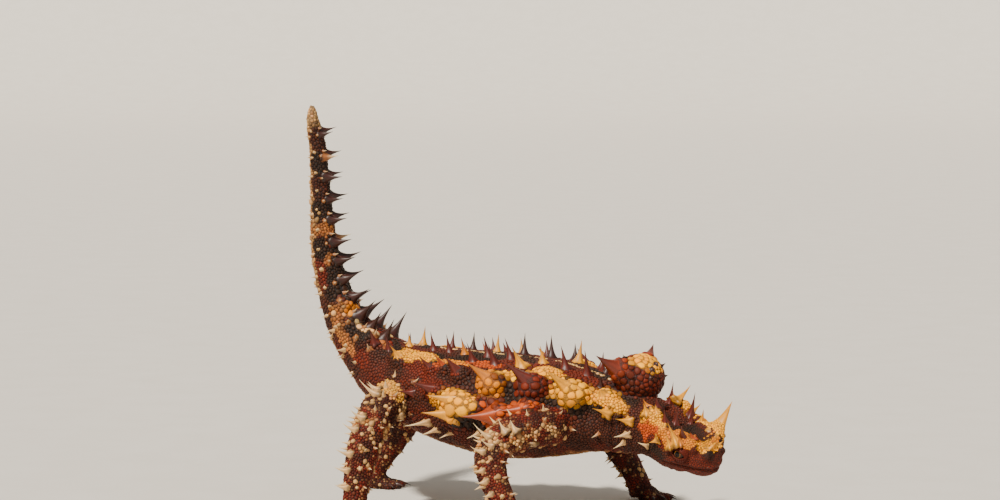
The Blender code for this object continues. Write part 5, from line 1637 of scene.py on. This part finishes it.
def wet_eye():
    """A living eye: dark iris flecked every 0.3 mm, amber round the pupil, under a clear wet cornea."""
    material, tree, shader = new_material("wet_cornea")
    angle = add_node(tree, "ShaderNodeAttribute", {"attribute_name": "height"}).outputs["Fac"]
    place = add_node(tree, "ShaderNodeTexCoord").outputs["Object"]
    fleck = add_node(tree, "ShaderNodeTexNoise", {"Scale": 3000.0, "Detail": 4.0}, [(place, "Vector")])
    links = [(fleck.outputs["Fac"], 0), (angle, 2)]
    wobble = add_node(tree, "ShaderNodeMath", {"operation": "MULTIPLY_ADD", 1: 0.10}, links)
    ramp = add_node(tree, "ShaderNodeValToRGB", {}, [(wobble.outputs["Value"], "Fac")])
    stops = ramp.color_ramp.elements
    for position, _ in IRIS[1:-1]:
        stops.new(position)
    for stop, (_, code) in zip(stops, IRIS):
        stop.color = (*linear(code), 1)
    tree.links.new(ramp.outputs["Color"], shader.inputs["Base Color"])
    shader.inputs["Roughness"].default_value = 0.08
    shader.inputs["Specular IOR Level"].default_value = 0.28
    return material


eye_material = wet_eye()
for side, name in ((1, "right"), (-1, "left")):
    outward = (HEAD_TURN @ Vector((EYE_WAY[0], -side * EYE_WAY[1], EYE_WAY[2]))).normalized()
    forward = HEAD_TURN @ Vector((1, 0, 0))
    long_way = (forward - outward * forward.dot(outward)).normalized()
    short_way = outward.cross(long_way) * side * -1
    centre = body.point(EYE_ALONG, side * EYE_ANGLE) - outward * (EYE_RADIUS - EYE_STANDS_OUT)
    bpy.ops.object.select_all(action="DESELECT")
    bpy.ops.mesh.primitive_uv_sphere_add(
        segments=EYE_COLUMNS, ring_count=EYE_RINGS, radius=EYE_RADIUS * MM, location=in_metres(centre),
        rotation=outward.to_track_quat("Z", "Y").to_euler(),
    )
    eye = bpy.context.object
    eye.name = "eye_" + name + "_ball"
    bpy.ops.object.transform_apply(location=True, rotation=True, scale=True)
    bpy.ops.object.shade_smooth()
    spots = read_points(eye.data) - np.array(centre)
    off_axis = np.arccos(np.clip(spots @ np.array(outward) / EYE_RADIUS, -1, 1)) / (math.pi / 2)
    store(eye.data, "height", np.clip(off_axis, 0, 1))
    eye.data.materials.append(eye_material)
    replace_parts(eye, "eye_" + name)
    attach(eye, "root")
    points = []
    for share, past, _ in LID_ROWS:
        distance = EYE_RADIUS + past
        for turn in (math.tau * i / LID_COLUMNS for i in range(LID_COLUMNS)):
            open_long = LID_OPENING[0] * math.cos(turn)
            open_high = LID_OPENING[1] * math.sin(turn) * (1 - LID_PINCH * abs(math.cos(turn)) ** 3)
            along = open_long + (LID_REACH * math.cos(turn) - open_long) * share
            high = open_high + (LID_REACH * math.sin(turn) - open_high) * share
            bead = LID_BEAD * abs(math.sin(turn * LID_BEADS + share * LID_STAGGER)) * (share > 0)
            flat = min(math.hypot(along, high), distance * LID_WIDEST)
            scale = flat / max(math.hypot(along, high), 1e-6)
            depth = math.sqrt(max((distance + bead) ** 2 - flat**2, 0.0))
            points.append((centre + long_way * along * scale + short_way * high * scale + outward * depth)[:])
    faces = ring_faces(len(LID_ROWS), LID_COLUMNS)
    # The lids' painted shade, ring by ring.
    tone = np.repeat([row[2] for row in LID_ROWS], LID_COLUMNS)[:, None]
    lids = Heap()
    lids.add(
        np.array(points), [face[::-1] for face in faces] if side == 1 else faces,
        (RUSSET * 0.55 + BROWN * 0.45) * tone, np.ones(len(points)),
    )
    lids.piece("lids_" + name, beads, "face_skin")

# The claws. Each toe ends in a short, sharp, slightly curved claw of dark horn that touches the ground.
CLAW_LENGTH, CLAW_RADIUS, CLAW_HEIGHT, CLAW_SINK = 2.3, 0.62, 1.25, 0.4
CLAW_WAY, CLAW_BEND = Vector((1, 0, 0.2)), Vector((0, 0, -0.46))
claw = Heap()
for name in legs:
    palm, _, each_toe = toes(name)
    for way, length in each_toe:
        root = palm + way @ Vector((FEET[name][2] * TOE_SEAT + length - CLAW_SINK, 0, 0))
        root.z = CLAW_HEIGHT
        reach = CLAW_LENGTH + CLAW_SINK
        grow_thorn(
            claw, root, way @ CLAW_WAY, CLAW_BEND, reach, CLAW_RADIUS, BROAD, BROWN, DULL_TIP,
            sides=10, flutes=3, fluting=0.0,
        )
claw.piece("claws", horny("claw_horn", 0.35, 0.10), "horn")

# The floor and the studio. A plain pale floor that sweeps up behind, a key from the front left and above, a
# broad fill from the right and a pale surround, with the camera where the photo was taken from.
FLOOR_REACH = 3.0
SWEEP_STEPS = 12
SWEEP_RADIUS = 1.2
bpy.ops.object.select_all(action="DESELECT")
bpy.ops.mesh.primitive_plane_add(size=FLOOR_REACH * 2)
floor = bpy.context.object
floor.name = "floor"
bpy.ops.object.mode_set(mode="EDIT")
bpy.ops.mesh.select_all(action="DESELECT")
work = bmesh.from_edit_mesh(floor.data)
for corner in work.verts:
    corner.select_set(corner.co.y > 0)
work.select_flush_mode()
bmesh.update_edit_mesh(floor.data)
for step in range(SWEEP_STEPS):
    low, high = (math.pi / 2 * n / SWEEP_STEPS for n in (step, step + 1))
    back_by = SWEEP_RADIUS * (math.sin(high) - math.sin(low))
    up_by = SWEEP_RADIUS * (math.cos(low) - math.cos(high))
    bpy.ops.mesh.extrude_region_move(TRANSFORM_OT_translate={"value": (0, back_by, up_by)})
bpy.ops.mesh.extrude_region_move(TRANSFORM_OT_translate={"value": (0, 0, FLOOR_REACH)})
bpy.ops.mesh.select_all(action="SELECT")
bpy.ops.mesh.normals_make_consistent(inside=False)
bpy.ops.object.mode_set(mode="OBJECT")
bpy.ops.object.shade_smooth()
bpy.ops.object.transform_apply(location=True, rotation=True, scale=True)
# Matt card, mottled every 17 mm so faintly that the floor looks plain.
material, tree, shader = new_material("matt_card")
place = add_node(tree, "ShaderNodeTexCoord").outputs["Object"]
mottle = add_node(tree, "ShaderNodeTexNoise", {"Scale": 60.0, "Detail": 3.0}, [(place, "Vector")])
paper = add_node(tree, "ShaderNodeValToRGB", {}, [(mottle.outputs["Fac"], "Fac")])
for stop, code in zip(paper.color_ramp.elements, ("#CFC9C0", "#D8D3CB")):
    stop.color = (*linear(code), 1)
tree.links.new(paper.outputs["Color"], shader.inputs["Base Color"])
shader.inputs["Roughness"].default_value = 0.9
floor.data.materials.append(material)


def studio_lamp(name, way, power, colour, spread):
    """A far lamp that shines along a way, spread over an angle."""
    light = bpy.data.lights.new(name, "SUN")
    light.energy = power
    light.color = colour
    light.angle = math.radians(spread)
    lamp = bpy.data.objects.new(name, light)
    bpy.context.scene.collection.objects.link(lamp)
    lamp.location = -Vector(way)
    lamp.rotation_euler = Vector(way).to_track_quat("-Z", "Y").to_euler()


studio_lamp("key", (0.36, 0.52, -0.78), 6.4, (1.0, 0.93, 0.82), 5)
studio_lamp("fill", (-0.7, 0.65, -0.30), 0.35, (0.95, 0.96, 1.0), 50)
world = bpy.data.worlds.new("studio")
world.use_nodes = True
surround = world.node_tree.nodes["Background"]
surround.inputs["Color"].default_value = (*linear("#E4E1DC"), 1)
surround.inputs["Strength"].default_value = 0.36
bpy.context.scene.world = world

CAMERA_PLACE = (-0.00339, -0.78976, 0.12689)
CAMERA_PITCH = 4.275
LENS = 110.77
view = bpy.data.cameras.new("camera")
view.lens = LENS
view.sensor_width = 36.0
view.clip_end = 50.0
camera = bpy.data.objects.new("camera", view)
bpy.context.scene.collection.objects.link(camera)
camera.location = CAMERA_PLACE
camera.rotation_euler = (math.radians(90 - CAMERA_PITCH), 0, 0)
bpy.context.scene.camera = camera
